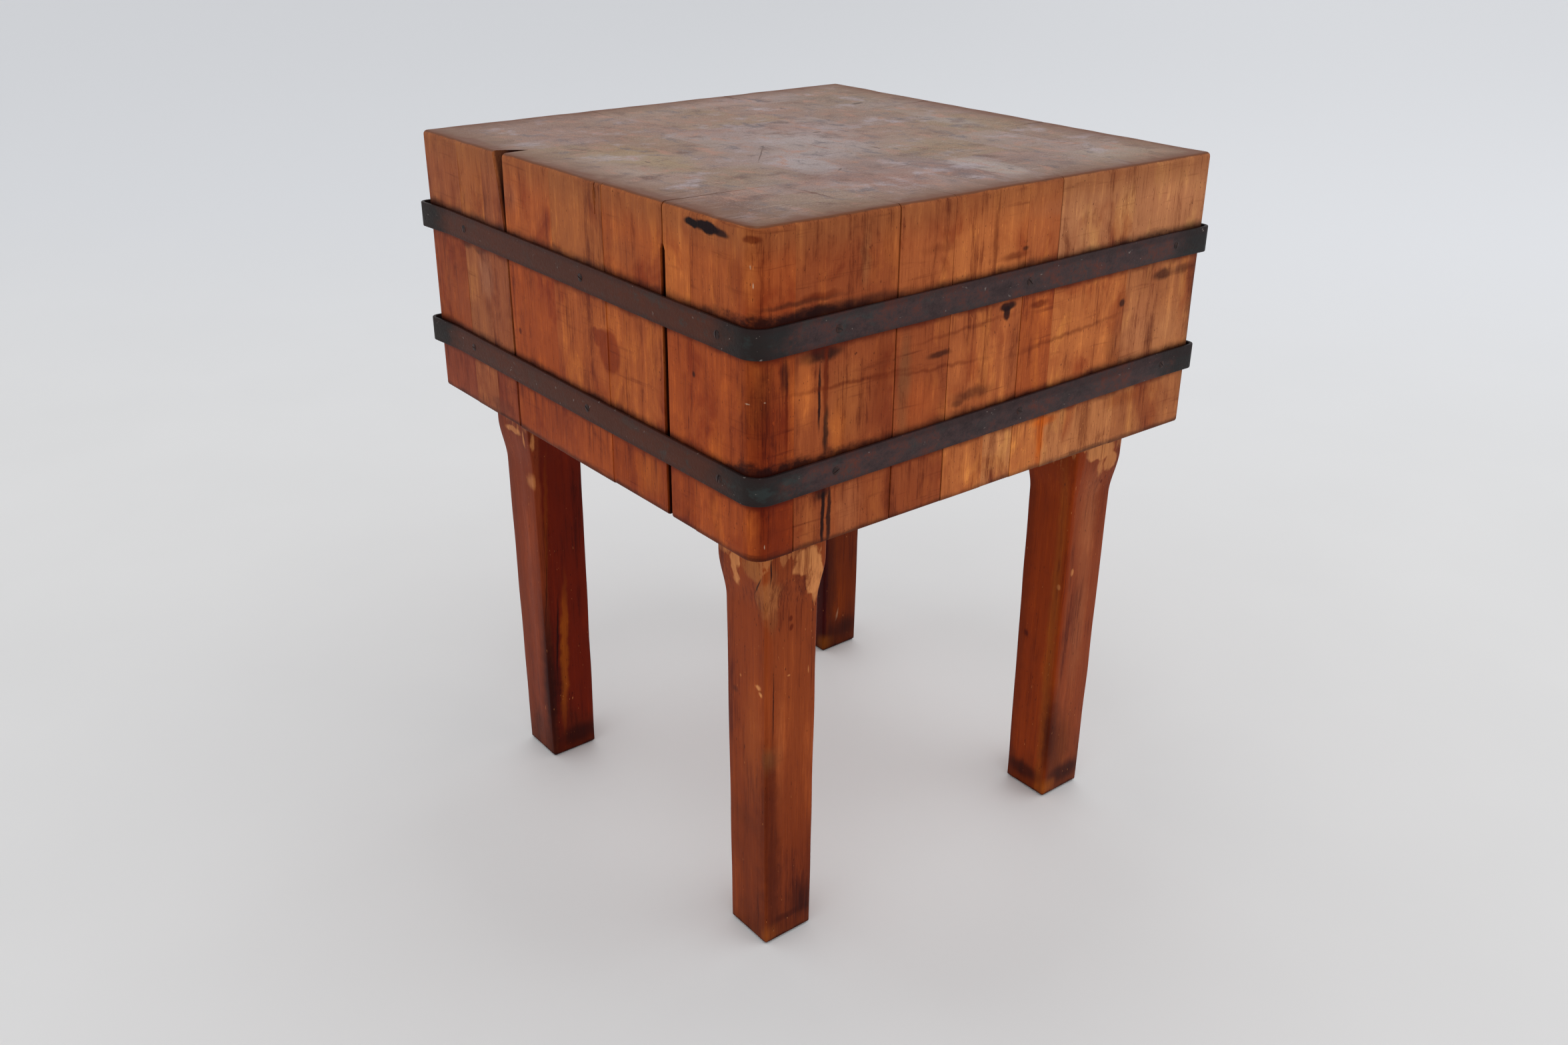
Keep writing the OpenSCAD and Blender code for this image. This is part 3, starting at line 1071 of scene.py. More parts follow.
        # the pale grey-mauve blotches, rings and specks are partly painted sheen
        colour = net.coated(
            colour,
            (top(172, 157, 160), blotch.between(0.52, 0.72) * 0.8),
            (top(104, 74, 64), blotch.between(0.48, 0.28) * 0.85),
            (top(172, 126, 106), smudge.between(0.52, 0.72) * 0.8),
            (top(104, 94, 98), smudge.between(0.47, 0.28) * 0.8),
            (top(176, 154, 142), rings.between(0.55, 0.75) * 0.5),
            (top(92, 64, 54), speck.between(0.54, 0.70) * 0.75),
            (top(184, 170, 164), speck.between(0.44, 0.28) * 0.65),
        )
        inset_x = BLOCK.high.x - net.x.size()
        inset_y = BLOCK.high.y - net.y.size()
        rim = inset_x.least(inset_y) + (cloud - 0.5) * 0.04 + (smudge - 0.5) * 0.03
        colour = net.mix(colour, top(120, 84, 64), rim.between(60 * MM, 12 * MM) * 0.7)
        colour = net.mix(colour, top(112, 66, 44), rim.between(24 * MM, 6 * MM) * 0.85)
        scratches = None
        for k, angle in enumerate((0.5, 1.15, 2.3)):
            cuts = net.grain((14, 420, 1), (k * 1.7, k * 2.3, 0), 1, turn=(0, 0, angle)).between(0.69, 0.735)
            scratches = cuts if scratches is None else scratches.most(cuts)
        scratches = scratches * blotch.between(0.45, 0.62)
        colour = net.mix(colour, top(84, 58, 48), scratches * 0.6)
        relief = blotch * 0.5 + rings * 0.2 + speck * 0.2 + (1 - scratches) * 0.7
        return colour, mask, relief


@dataclass(frozen=True)
class LegLook:
    """How one leg is coloured, face by face, and how it has aged.

    Attributes:
        left: The colour of its left face.
        front: The colour of its front face, and of the two that face away.
        marks: Its own stains, rubbed patches, knots and cracks.
    """

    left: Colour
    front: Colour
    marks: tuple[Mark, ...] = ()


def leg_marks(node: str, placed: Iterable[tuple]) -> tuple[Mark, ...]:
    """Makes a leg's marks from places on its left or front face, in millimetres from the leg's own axis.

    Args:
        node: The leg's part in the frame.
        placed: For each mark: its face, place across the face, height, half width, half height,
            colour, strength, softness, stir, and lean if it has one.

    Returns:
        The marks.
    """
    box = Box.of(node)
    made = []
    for face, across, z, wide, tall, colour, strength, soft, stir, *leans in placed:
        lean = sum(leans)
        if face is Face.LEFT:
            at = (box.low.x + LEG_INSET, box.middle.y + across * MM, z * MM)
            half, turn = (LEG_SKIN, wide * MM, tall * MM), (lean, 0.0, 0.0)
        else:
            at = (box.middle.x + across * MM, box.low.y + LEG_INSET, z * MM)
            half, turn = (wide * MM, LEG_SKIN, tall * MM), (0.0, lean, 0.0)
        made.append(Mark(at, half, colour, strength, soft, stir * MM, turn))
    return tuple(made)


NEAR_BLACK = side(44, 26, 20)
LEG_LOOKS = {
    "leg_front_left": LegLook(side(128, 62, 36), side(126, 60, 35), leg_marks("leg_front_left", (
        (Face.LEFT, 8, 500, 10, 12, RAW_WOOD, 0.8, 0.2, 10),
        (Face.LEFT, 11, 484, 5, 16, RAW_WOOD, 0.75, 0.25, 7),
        (Face.LEFT, 32, 508, 9, 6, RAW_WOOD, 0.5, 0.4, 7),
        (Face.LEFT, -22, 500, 18, 16, side(150, 90, 50), 0.8, 0.25, 9),
        (Face.LEFT, -36, 470, 14, 22, side(146, 88, 50), 0.6, 0.3, 9, 0.3),
        (Face.FRONT, 14, 500, 18, 18, RAW_WOOD, 0.95, 0.12, 9),
        (Face.FRONT, 26, 482, 12, 26, RAW_WOOD, 0.95, 0.12, 8),
        (Face.FRONT, 30, 460, 5, 14, RAW_WOOD, 0.8, 0.3, 5),
        (Face.FRONT, -30, 470, 8, 42, side(150, 92, 56), 0.55, 0.4, 8, -0.1),
        (Face.FRONT, -34, 503, 1.1, 16, SOOT, 0.95, 0.5, 1),
        (Face.LEFT, -29, 484, 1.0, 14, SOOT, 0.85, 0.5, 1, 0.55),
        (Face.LEFT, -23, 354, 3.5, 2.5, RAW_WOOD, 0.75, 0.6, 5),
        (Face.LEFT, -26, 347, 3, 2, RAW_WOOD, 0.7, 0.6, 4, 0.4),
        (Face.LEFT, 10, 355, 1.4, 1.6, RAW_WOOD, 0.5, 0.6, 2),
        (Face.FRONT, -4, 364, 1.8, 1.0, RAW_WOOD, 0.7, 0.6, 2),
        (Face.FRONT, 24, 362, 0.8, 4, RAW_WOOD, 0.6, 0.6, 2),
        (Face.LEFT, 20, 333, 5, 4, side(84, 44, 34), 0.7, 0.6, 3),
        (Face.FRONT, -2, 435, 2.4, 3.4, BLOOD_BROWN, 0.95, 0.4, 1),
        (Face.FRONT, -1, 424, 2.4, 4, BLOOD_BROWN, 0.95, 0.4, 1, 0.3),
        (Face.FRONT, -25, 330, 0.8, 42, NEAR_BLACK, 0.85, 0.5, 1),
        (Face.LEFT, -19, 50, 0.8, 32, NEAR_BLACK, 0.85, 0.5, 1),
        (Face.LEFT, -38, 180, 7, 90, side(72, 34, 22), 0.65, 0.7, 6),
        (Face.FRONT, -29, 200, 8, 80, side(72, 32, 22), 0.6, 0.8, 6),
        (Face.FRONT, -25, 86, 11, 62, NEAR_BLACK, 0.8, 0.8, 9),
        (Face.FRONT, 22, 46, 16, 22, NEAR_BLACK, 0.8, 0.6, 7),
        (Face.FRONT, 30, 90, 5, 60, side(70, 32, 22), 0.6, 0.8, 5),
        (Face.FRONT, 6, 30, 30, 5, NEAR_BLACK, 0.7, 0.6, 5),
        (Face.LEFT, 5, 165, 30, 14, side(92, 46, 32), 0.45, 0.8, 8, 0.2),
        (Face.LEFT, 0, 100, 44, 110, side(94, 42, 27), 0.6, 0.95, 9),
        (Face.FRONT, 10, 110, 34, 100, side(96, 40, 26), 0.55, 0.95, 9),
        (Face.LEFT, -10, 270, 16, 60, side(144, 74, 40), 0.5, 0.8, 8),
        (Face.FRONT, -15, 280, 5, 60, side(146, 76, 44), 0.5, 0.8, 5),
        (Face.LEFT, -33, 262, 5, 14, side(98, 64, 42), 0.5, 0.8, 6),
        (Face.LEFT, -38, 12, 10, 14, side(140, 74, 36), 0.5, 0.7, 4),
    ))),
    "leg_front_right": LegLook(side(124, 54, 28), side(124, 60, 38), leg_marks("leg_front_right", (
        (Face.FRONT, 2, 510, 30, 12, RAW_WOOD, 0.9, 0.14, 9),
        (Face.FRONT, 24, 492, 12, 16, RAW_WOOD, 0.85, 0.14, 8),
        (Face.FRONT, 6, 488, 7, 14, RAW_WOOD, 0.7, 0.2, 8),
        (Face.FRONT, 0, 420, 14, 60, side(148, 86, 56), 0.6, 0.8, 8),
        (Face.FRONT, 2, 270, 12, 80, side(144, 84, 56), 0.5, 0.8, 8),
        (Face.FRONT, 14, 465, 2, 3, BLOOD_BROWN, 0.9, 0.4, 1),
        (Face.FRONT, -21, 345, 2.5, 5, RAW_WOOD, 0.8, 0.4, 2),
        (Face.FRONT, 22, 440, 10, 60, side(100, 42, 26), 0.5, 0.8, 8),
        (Face.FRONT, -8, 70, 20, 50, side(72, 38, 26), 0.6, 0.8, 8),
        (Face.FRONT, 6, 28, 30, 14, NEAR_BLACK, 0.8, 0.6, 6),
        (Face.LEFT, -28, 325, 3, 4, RAW_WOOD, 0.7, 0.4, 2),
        (Face.LEFT, -24, 240, 7, 260, side(130, 72, 32), 0.5, 0.8, 5),
        (Face.LEFT, 20, 237, 4, 5, side(60, 26, 20), 0.8, 0.6, 3),
        (Face.LEFT, 30, 300, 8, 280, side(84, 36, 18), 0.5, 0.8, 6),
        (Face.LEFT, -36, 100, 10, 60, NEAR_BLACK, 0.75, 0.7, 6),
        (Face.LEFT, 5, 26, 26, 12, NEAR_BLACK, 0.75, 0.6, 5),
        (Face.LEFT, -38, 14, 9, 12, side(140, 76, 34), 0.6, 0.7, 4),
    ))),
    "leg_back_left": LegLook(side(114, 54, 36), side(94, 34, 16), leg_marks("leg_back_left", (
        (Face.LEFT, 0, 497, 22, 5, RAW_WOOD, 0.7, 0.25, 6),
        (Face.LEFT, -26, 490, 2.5, 12, RAW_WOOD, 0.8, 0.3, 2),
        (Face.FRONT, -37, 490, 3, 12, RAW_WOOD, 0.8, 0.3, 2),
        (Face.FRONT, -36, 430, 2.4, 10, RAW_WOOD, 0.5, 0.5, 3),
        (Face.LEFT, -4, 250, 6, 260, side(126, 66, 50), 0.4, 0.9, 6),
        (Face.LEFT, 26, 300, 10, 240, side(104, 48, 32), 0.5, 0.9, 6),
        (Face.FRONT, -27, 300, 0.9, 80, NEAR_BLACK, 0.95, 0.5, 2, 0.075),
        (Face.FRONT, -17, 190, 1.6, 62, NEAR_BLACK, 0.95, 0.5, 2, 0.075),
        (Face.FRONT, -8, 160, 6, 100, side(132, 66, 28), 0.8, 0.5, 5, 0.06),
        (Face.FRONT, -24, 360, 3, 90, side(120, 56, 24), 0.55, 0.6, 4, 0.06),
        (Face.FRONT, -34, 100, 8, 110, NEAR_BLACK, 0.8, 0.7, 6),
        (Face.FRONT, 10, 24, 30, 14, NEAR_BLACK, 0.75, 0.6, 6),
        (Face.LEFT, -36, 120, 9, 120, NEAR_BLACK, 0.75, 0.7, 6),
    ))),
    "leg_back_right": LegLook(side(60, 26, 16), side(98, 43, 24), leg_marks("leg_back_right", (
        (Face.FRONT, -22, 100, 12, 180, NEAR_BLACK, 0.6, 0.8, 6),
        (Face.FRONT, -6, 60, 1.6, 10, side(130, 92, 70), 0.7, 0.5, 3, 0.3),
        (Face.FRONT, 6, 34, 30, 16, NEAR_BLACK, 0.65, 0.7, 6),
        (Face.LEFT, -34, 14, 12, 12, side(116, 62, 28), 0.6, 0.7, 4),
    ))),
}


@dataclass(frozen=True)
class LegWood:
    """The finish of a leg: red-brown varnish, rubbed raw at the shoulder and dirty at the foot."""

    name: str
    box: Box
    seed: float
    look: LegLook
    roughness: float = 0.48

    def material(self) -> bpy.types.Material:
        """Builds the leg's material."""
        net = Net(self.name)
        drift = (self.seed * 2.3, self.seed * 4.1, self.seed * 0.7)
        stir = net.stir()
        cloud = net.grain((22, 22, 7), drift, 4, 0.6)
        figure = net.grain((150, 150, 4), drift, 4, 0.62, 0.4)
        fibre = net.grain((800, 800, 26), drift, 3, 0.65)
        fringe = net.grain((70, 70, 26), drift, 4, 0.65)
        left_edge = self.box.low.x
        left_face = (net.x + (fringe - 0.5) * 0.008).between(left_edge + 18 * MM, left_edge + 12 * MM)
        # painted shade: a leg's left face is darkened and warmed by the same tint
        base = net.mix(self.look.front, net.tinted(self.look.left, LEFT_SHADE_TINT), left_face)
        crown = BLOCK.low.z
        bare = (net.z + (fringe - 0.5) * 0.12).between(crown - 40 * MM, crown - 30 * MM)
        base = net.mix(base, RAW_WOOD, bare * fringe.between(0.44, 0.5) * 0.4)
        soiled = (net.z + (cloud - 0.5) * 0.16).between(75 * MM, 8 * MM)
        base = net.mix(base, side(64, 33, 23), soiled * 0.6)
        base = net.marked(base, self.look.marks, stir)
        dark = net.tinted(base, DARK_TINT)
        light = net.tinted(base, (1.5, 1.75, 1.8, 1))
        tone = (figure - 0.5) * 1.2 + (fibre - 0.5) * 1.2 + (cloud - 0.5) * 1.9 + 0.5
        colour = net.mix(dark, base, tone.between(-0.15, 0.5))
        colour = net.mix(colour, light, tone.between(0.5, 1.25))
        smear = net.grain((16, 16, 110), drift, 3, 0.6, 0.5, turn=(0.1, 0.14, 0))
        colour = net.mix(colour, dark, smear.between(0.6, 0.85) * 0.15)
        pits = net.grain((420, 420, 110), drift, 1, 0.5)
        colour = net.mix(colour, NEAR_BLACK, pits.between(0.71, 0.79) * 0.65)
        chips = net.grain((420, 420, 120), drift, 1, 0.5)
        colour = net.mix(colour, RAW_WOOD, chips.between(0.76, 0.81) * 0.5)
        sole = (net.z + (fringe - 0.5) * 0.01).between(7 * MM, 3 * MM)
        colour = net.mix(colour, side(40, 26, 22), sole * 0.85)
        height = fibre * 0.4 + figure * 0.4 + fringe * 0.2
        return net.finish(colour, self.roughness + (cloud - 0.5) * 0.2, WOOD_SHINE, height)


@dataclass(frozen=True)
class BandIron:
    """The finish of a band: old flat iron, rust-brown along the sides, with painted shade near black on the
    rounded corners.
    """

    name: str
    box: Box
    seed: float

    def material(self) -> bpy.types.Material:
        """Builds the band's material."""
        net = Net(self.name)
        cloud = net.grain((16, 16, 30), (self.seed, 0, 0), 4, 0.62)
        mottle = net.grain((60, 60, 90), (self.seed, 4, 0), 4, 0.65)
        grit = net.grain((300, 300, 300), (0, self.seed, 0), 3, 0.65)
        tone = cloud * 0.5 + mottle * 0.5 + (grit - 0.5) * 0.35
        colour = net.ramp(tone, (
            (0.3, side(46, 38, 39)), (0.72, side(90, 50, 41)), (0.5, side(63, 50, 50))))
        left = net.x.between(self.box.low.x + 20 * MM, self.box.low.x + 6 * MM)
        colour = net.mix(colour, side(76, 42, 30), left * 0.75)
        # painted shade: the rounded corners of the band turn near black
        out_x = self.box.high.x - net.x.size()
        out_y = self.box.high.y - net.y.size()
        corner = out_x.most(out_y) + (cloud - 0.5) * 0.07 + (mottle - 0.5) * 0.03
        colour = net.mix(colour, side(38, 38, 38), corner.between(0.075, 0.03) * 0.9)
        green = net.grain((30, 30, 44), (4, self.seed, 1), 4, 0.65)
        low, (far, close) = self.box.low, (340 * MM, 50 * MM)
        near = net.x.between(low.x + far, low.x + close) * net.y.between(low.y + far, low.y + close)
        colour = net.mix(colour, side(50, 58, 57), green.between(0.52, 0.66) * (near * 0.4 + 0.15))
        edge = (net.z - self.box.middle.z).size().between(8 * MM, 14 * MM)
        colour = net.mix(colour, side(44, 32, 32), edge * 0.4)
        rubbed = net.grain((160, 160, 200), (2, 2, self.seed), 2, 0.6).between(0.7, 0.76)
        colour = net.mix(colour, side(128, 118, 112), rubbed * 0.5)
        rough = 0.55 + (grit - 0.5) * 0.3 - rubbed * 0.1
        return net.finish(colour, rough, 0.14, grit * 0.6 + mottle * 0.6, 0.6 * MM)


@dataclass(frozen=True)
class ScrewSteel:
    """The finish of the screws: dark, slightly rusty steel."""

    name: str = "screw_steel_worn"

    def material(self) -> bpy.types.Material:
        """Builds the screws' material."""
        net = Net(self.name)
        grit = net.grain((300, 300, 300), (0, 0, 0), 3, 0.6)
        colour = net.ramp(grit, ((0.35, side(38, 33, 33)), (0.7, side(66, 46, 42))))
        return net.finish(colour, 0.5, 0.2, grit, 0.2 * MM)


# ---------------------------------------------------------------- the staves


@dataclass
class Stave:
    """One end-grain stave of the block."""

    name: str
    box: Box
    drift: Vector
    proud: float
    sag: float
    look: StaveLook
    corner_radius: float = 7 * MM
    near_corner_radius: float = 19 * MM
    rim_radius: float = 5 * MM
    foot_radius: float = 3 * MM
    gap: float = 0.08 * MM
    fine: float = 7 * MM
    coarse: float = 14 * MM
    rim_gap: float = 1.5 * MM
    crack_step: tuple[float, float] = (1 * MM, 1.5 * MM)
    faces: tuple[Face, ...] = field(init=False)
    seams: tuple[OpenSeam, ...] = field(init=False)
    checks: tuple[Check, ...] = field(init=False)

    def __post_init__(self) -> None:
        """Finds the stave's outer faces, and the open seams and checks that it borders."""
        self.faces = tuple(face for face in Face if abs(face.edge(self.box) - face.edge(BLOCK)) < MM)
        if set(self.faces) == {Face.LEFT, Face.FRONT}:
            self.corner_radius = self.near_corner_radius
        self.seams = tuple(
            seam for seam in SEAMS
            if self.near(seam.face, seam.reach) and self.spans(seam.face, seam.at, seam.spread)
        )
        self.checks = tuple(
            check for check in CHECKS
            if check.face in self.faces and self.spans(check.face, check.at, 0)
        )

    def near(self, face: Face, reach: float) -> bool:
        """Says whether the stave comes within reach of a face of the block."""
        low, high = self.box.low[face.across], self.box.high[face.across]
        return low - reach < face.edge(BLOCK) < high + reach

    def spans(self, face: Face, at: float, spare: float) -> bool:
        """Says whether a place along a face lies in the stave's width, with some to spare."""
        axis = 1 - face.across
        return self.box.low[axis] - spare < at < self.box.high[axis] + spare

    def on_outside(self, point: Vector) -> bool:
        """Says whether a point lies on an outer face of the block or on its rounded corner."""
        ins = [face.depth(point) for face in self.faces]
        return any(depth < TINY for depth in ins) or (
            len(ins) == 2 and max(ins) < self.corner_radius + TINY
        )

    def build(self) -> bpy.types.Object:
        """Builds the stave, worn; the block carves its mortise afterwards if a leg enters it."""
        low, high = self.box.low.copy(), self.box.high.copy()
        for axis in (0, 1):
            for end, way in ((low, -1), (high, 1)):
                if not any(face.value == (axis, way) for face in self.faces):
                    end[axis] -= way * self.gap
        bm = box_mesh(Box(low, high))
        if len(self.faces) == 2:
            round_edges(bm, edges_where(bm, self.upright_corner), self.corner_radius, 6)
        if self.faces:
            round_edges(bm, edges_where(bm, lambda a, b: self.level_rim(a, b, high.z)), self.rim_radius, 4)
            round_edges(bm, edges_where(bm, lambda a, b: self.level_rim(a, b, low.z)), self.foot_radius, 2)
        self.cut_up(bm, low, high)
        wear = Wear()
        for vert in bm.verts:
            vert.co = wear.moved(vert.co, self)
        return piece_from(bm, "worn_" + self.name)

    def upright_corner(self, a: Vector, b: Vector) -> bool:
        """Says whether an edge is the block's upright corner."""
        return upright(a, b) and all(face.depth(p) < TINY for face in self.faces for p in (a, b))

    def level_rim(self, a: Vector, b: Vector, level: float) -> bool:
        """Says whether an edge runs along the block's outline at a level."""
        flat = abs(a.z - level) < TINY and abs(b.z - level) < TINY
        if not (flat and self.on_outside(a) and self.on_outside(b)):
            return False
        return self.on_outside((a + b) / 2) or (a - b).length < self.corner_radius

    def cut_up(self, bm: bmesh.types.BMesh, low: Vector, high: Vector) -> None:
        """Cuts the stave finely enough to take its wear, finest beside an open seam or a check."""
        places = {0: set(steps(low.x, high.x, self.fine)), 1: set(steps(low.y, high.y, self.fine))}
        if self.faces:
            levels = set(steps(low.z, high.z - self.rim_radius, self.coarse))
            levels |= {high.z - self.rim_radius - self.rim_gap}
            for seam in self.seams:
                levels |= {low.z + height for height, _ in seam.widths if 0 < height < high.z - low.z}
            for check in self.checks:
                across, upward = self.crack_step
                levels |= set(steps(low.z + check.low, low.z + check.high, upward))
                axis = 1 - check.face.across
                places[axis] |= set(steps(check.at - check.width, check.at + check.width, across))
            cut(bm, 2, sorted(levels))
        for seam in self.seams:
            across = seam.face.across
            inner_end = seam.face.edge(BLOCK) - seam.face.side * seam.reach
            if low[across] < inner_end < high[across]:
                places[across].add(inner_end)
        for axis, values in places.items():
            cut(bm, axis, sorted(values))


@dataclass
class Block:
    """The chopping block: all its staves.

    Attributes:
        seed: Starts the random draws.
        overcut: How far a mortise's cutter starts under the block.
        end_gap: The room left over a tenon's end.
        side_gap: The room left round a tenon.
    """

    seed: int = 7
    overcut: float = 10 * MM
    end_gap: float = 1 * MM
    side_gap: float = 0.1 * MM

    def build(self, mortises: Sequence[Box]) -> None:
        """Builds and dresses every stave.

        Args:
            mortises: The boxes that the leg tenons fill.
        """
        chance = random.Random(self.seed)
        middling = list(Board)[3:10]
        ends = list(EndGrain)
        for number, name in enumerate(STAVE_NAMES):
            guess = StaveLook(*(chance.choice(middling) for _ in range(3)), chance.choice(ends))
            stave = Stave(
                name=name,
                box=Box.of(name),
                drift=Vector((chance.uniform(0, 9), chance.uniform(0, 9), chance.uniform(0, 9))),
                proud=chance.uniform(-0.35, 0.35) * MM,
                sag=chance.uniform(0.0, 1.4) * MM,
                look=LOOKS.get(name, guess),
            )
            piece = stave.build()
            for mortise in mortises:
                if mortise.meets(stave.box):
                    carve(piece, self.mortise_cutter(mortise))
            marks = tuple(mark for mark in MARKS if mark.box.meets(stave.box))
            finish = BlockWood("wood_" + name, stave.look, number * 0.37 + 0.2, stave.faces, marks)
            hand_over(piece, name, finish.material())

    def mortise_cutter(self, mortise: Box) -> bmesh.types.BMesh:
        """Makes the round hole that a tenon goes into, open at the underside."""
        low = mortise.low.z - self.overcut
        high = mortise.high.z + self.end_gap
        bm = bmesh.new()
        radius = mortise.size.x / 2 + self.side_gap
        place = Matrix.Translation((mortise.middle.x, mortise.middle.y, (low + high) / 2))
        bmesh.ops.create_cone(
            bm, cap_ends=True, segments=48, radius1=radius, radius2=radius, depth=high - low, matrix=place,
        )
        return bm


# ---------------------------------------------------------------- the legs


@dataclass
class Leg:
    """A square leg that tapers to its foot, with a shoulder all round its top and a round tenon."""

    node: str
    seed: float
    shoulder_out: float = 6 * MM
    shoulder_flat: float = 46 * MM
    shoulder_curve: float = 56 * MM
    foot_narrowing: float = 2.5 * MM
    foot_bevel: float = 4 * MM
    edge_radius: float = 3.5 * MM
    tenon_radius: float = 20 * MM
    dent: float = 0.5 * MM
    dent_scale: float = 14.0
    step: float = 10 * MM
    shoulder_step: float = 3 * MM
    box: Box = field(init=False)

    def __post_init__(self) -> None:
        """Measures the leg's box in the frame, tenon included."""
        self.box = Box.of(self.node)

    @property
    def tenon(self) -> Box:
        """The box of the tenon."""
        middle = self.box.middle
        reach = Vector((self.tenon_radius, self.tenon_radius, 0))
        return Box(
            Vector((middle.x, middle.y, BLOCK.low.z)) - reach,
            Vector((middle.x, middle.y, self.box.high.z)) + reach,
        )

    def build(self) -> bpy.types.Object:
        """Builds the leg from a straight shaft: edges rounded, then shaped, with its tenon on top."""
        box = self.box
        inset = Vector((self.shoulder_out, self.shoulder_out, 0))
        crown = BLOCK.low.z
        bm = box_mesh(Box(box.low + inset, Vector((box.high.x, box.high.y, crown)) - inset))
        round_edges(bm, edges_where(bm, upright), self.edge_radius, 4)
        sole = edges_where(bm, lambda a, b: max(a.z, b.z) < box.low.z + TINY)
        round_edges(bm, sole, self.foot_bevel, 1)
        shoulder_low = crown - self.shoulder_flat - self.shoulder_curve
        cut(bm, 2, steps(box.low.z + self.foot_bevel, shoulder_low, self.step))
        cut(bm, 2, [shoulder_low, *steps(shoulder_low, crown, self.shoulder_step)])
        middle = box.middle
        for axis in (0, 1):
            reach = box.size[axis] / 2 - self.shoulder_out - self.edge_radius
            cut(bm, axis, steps(middle[axis] - reach, middle[axis] + reach, self.step))
        self.shape(bm, middle, crown)
        self.add_tenon(bm, middle, crown, box.high.z)
        return piece_from(bm, self.node.replace("leg_", "oiled_leg_"))

    def finish(self) -> bpy.types.Material:
        """Makes the leg's material, with its own marks."""
        return LegWood("wood_" + self.node, self.box, self.seed, LEG_LOOKS[self.node]).material()

    def shape(self, bm: bmesh.types.BMesh, middle: Vector, crown: float) -> None:
        """Tapers the shaft, swells its shoulder and dents it a little."""
        curve_end = self.shoulder_flat + self.shoulder_curve
        for vert in bm.verts:
            depth = crown - vert.co.z
            swell = self.shoulder_out * (1 - smooth(depth, self.shoulder_flat, curve_end))
            narrowing = self.foot_narrowing * depth / crown
            dent = self.dent * noise.noise(vert.co * self.dent_scale + Vector((self.seed, 0, 0)))
            for axis in (0, 1):
                away = vert.co[axis] - middle[axis]
                half = self.box.size[axis] / 2 - self.shoulder_out
                vert.co[axis] += (away / half) * (swell - narrowing + dent)

    def add_tenon(self, bm: bmesh.types.BMesh, middle: Vector, crown: float, end: float) -> None:
        """Joins the round tenon to the flat top of the shaft."""
        flat = [f for f in bm.faces if min(v.co.z for v in f.verts) > crown - TINY]
        bmesh.ops.dissolve_faces(bm, faces=flat)
        cap = max(bm.faces, key=lambda f: f.calc_center_median().z)
        bmesh.ops.delete(bm, geom=[cap], context="FACES_ONLY")
        rim = [e for e in bm.edges if e.is_boundary]
        ring = bmesh.ops.create_circle(
            bm, cap_ends=False, segments=32, radius=self.tenon_radius,
            matrix=Matrix.Translation((middle.x, middle.y, crown)),
        )["verts"]
        circle = list({e for v in ring for e in v.link_edges})
        bmesh.ops.bridge_loops(bm, edges=rim + circle)
        raised = bmesh.ops.extrude_edge_only(bm, edges=circle)["geom"]
        tip = [g for g in raised if isinstance(g, bmesh.types.BMVert)]
        bmesh.ops.translate(bm, verts=tip, vec=(0, 0, end - crown))
        bmesh.ops.contextual_create(bm, geom=[e for e in bm.edges if e.is_boundary])


# ---------------------------------------------------------------- the bands and their screws


@dataclass
class Band:
    """A flat iron bar bent tight round the block."""

    node: str
    name: str
    lift: float
    seed: float
    thickness: float = 4 * MM
    corner_radius: float = 11 * MM
    near_corner_radius: float = 23 * MM
    step: float = 10 * MM
    edge: float = 0.7 * MM
    wave: float = 0.7 * MM
    wave_scale: float = 5.0
    spring: float = 70 * MM
    standing_off: tuple[tuple[int, int, float], ...] = ((-1, 1, 5.5 * MM), (1, -1, 3 * MM))

    def build(self) -> bpy.types.Object:
        """Builds the band as an outer skin, waves it, then gives it its thickness."""
        box = Box.of(self.node)
        bm = box_mesh(box)
        near = edges_where(bm, lambda a, b: upright(a, b) and a.x + a.y < box.low.x)
        round_edges(bm, near, self.near_corner_radius, 10)
        others = [e for e in edges_where(bm, upright) if e.calc_face_angle() > math.radians(60)]
        round_edges(bm, others, self.corner_radius, 7)
        lids = [f for f in bm.faces if abs(f.normal.z) > 0.5]
        bmesh.ops.delete(bm, geom=lids, context="FACES")
        for axis in (0, 1):
            reach = box.size[axis] / 2 - self.near_corner_radius
            cut(bm, axis, steps(-reach, reach, self.step))
        for vert in bm.verts:
            self.bend(vert.co, box)
        skin = bm.faces[:]
        bmesh.ops.recalc_face_normals(bm, faces=skin)
        bmesh.ops.solidify(bm, geom=skin, thickness=self.thickness)
        bmesh.ops.recalc_face_normals(bm, faces=bm.faces[:])
        sharp = [e for e in bm.edges if e.is_manifold and e.calc_face_angle() > math.radians(60)]
        round_edges(bm, sharp, self.edge, 2)
        return piece_from(bm, self.name, 50)

    def bend(self, point: Vector, box: Box) -> None:
        """Lifts the band towards the right, waves it and springs two of its corners off the wood."""
        for side_x, side_y, out in self.standing_off:
            corner = Vector((side_x * box.high.x, side_y * box.high.y))
            share = smooth((point.xy - corner).length, self.spring, 0)
            point.x += side_x * out * share
            point.y += side_y * out * share
        ripple = noise.noise(Vector((point.x, point.y, self.seed)) * self.wave_scale)
        point.z += band_rise(self.lift, point.x) + self.wave * ripple


def band_rise(lift: float, x: float) -> float:
    """How far a band has slipped up at a place along the block."""
    return lift * (x - BLOCK.low.x)


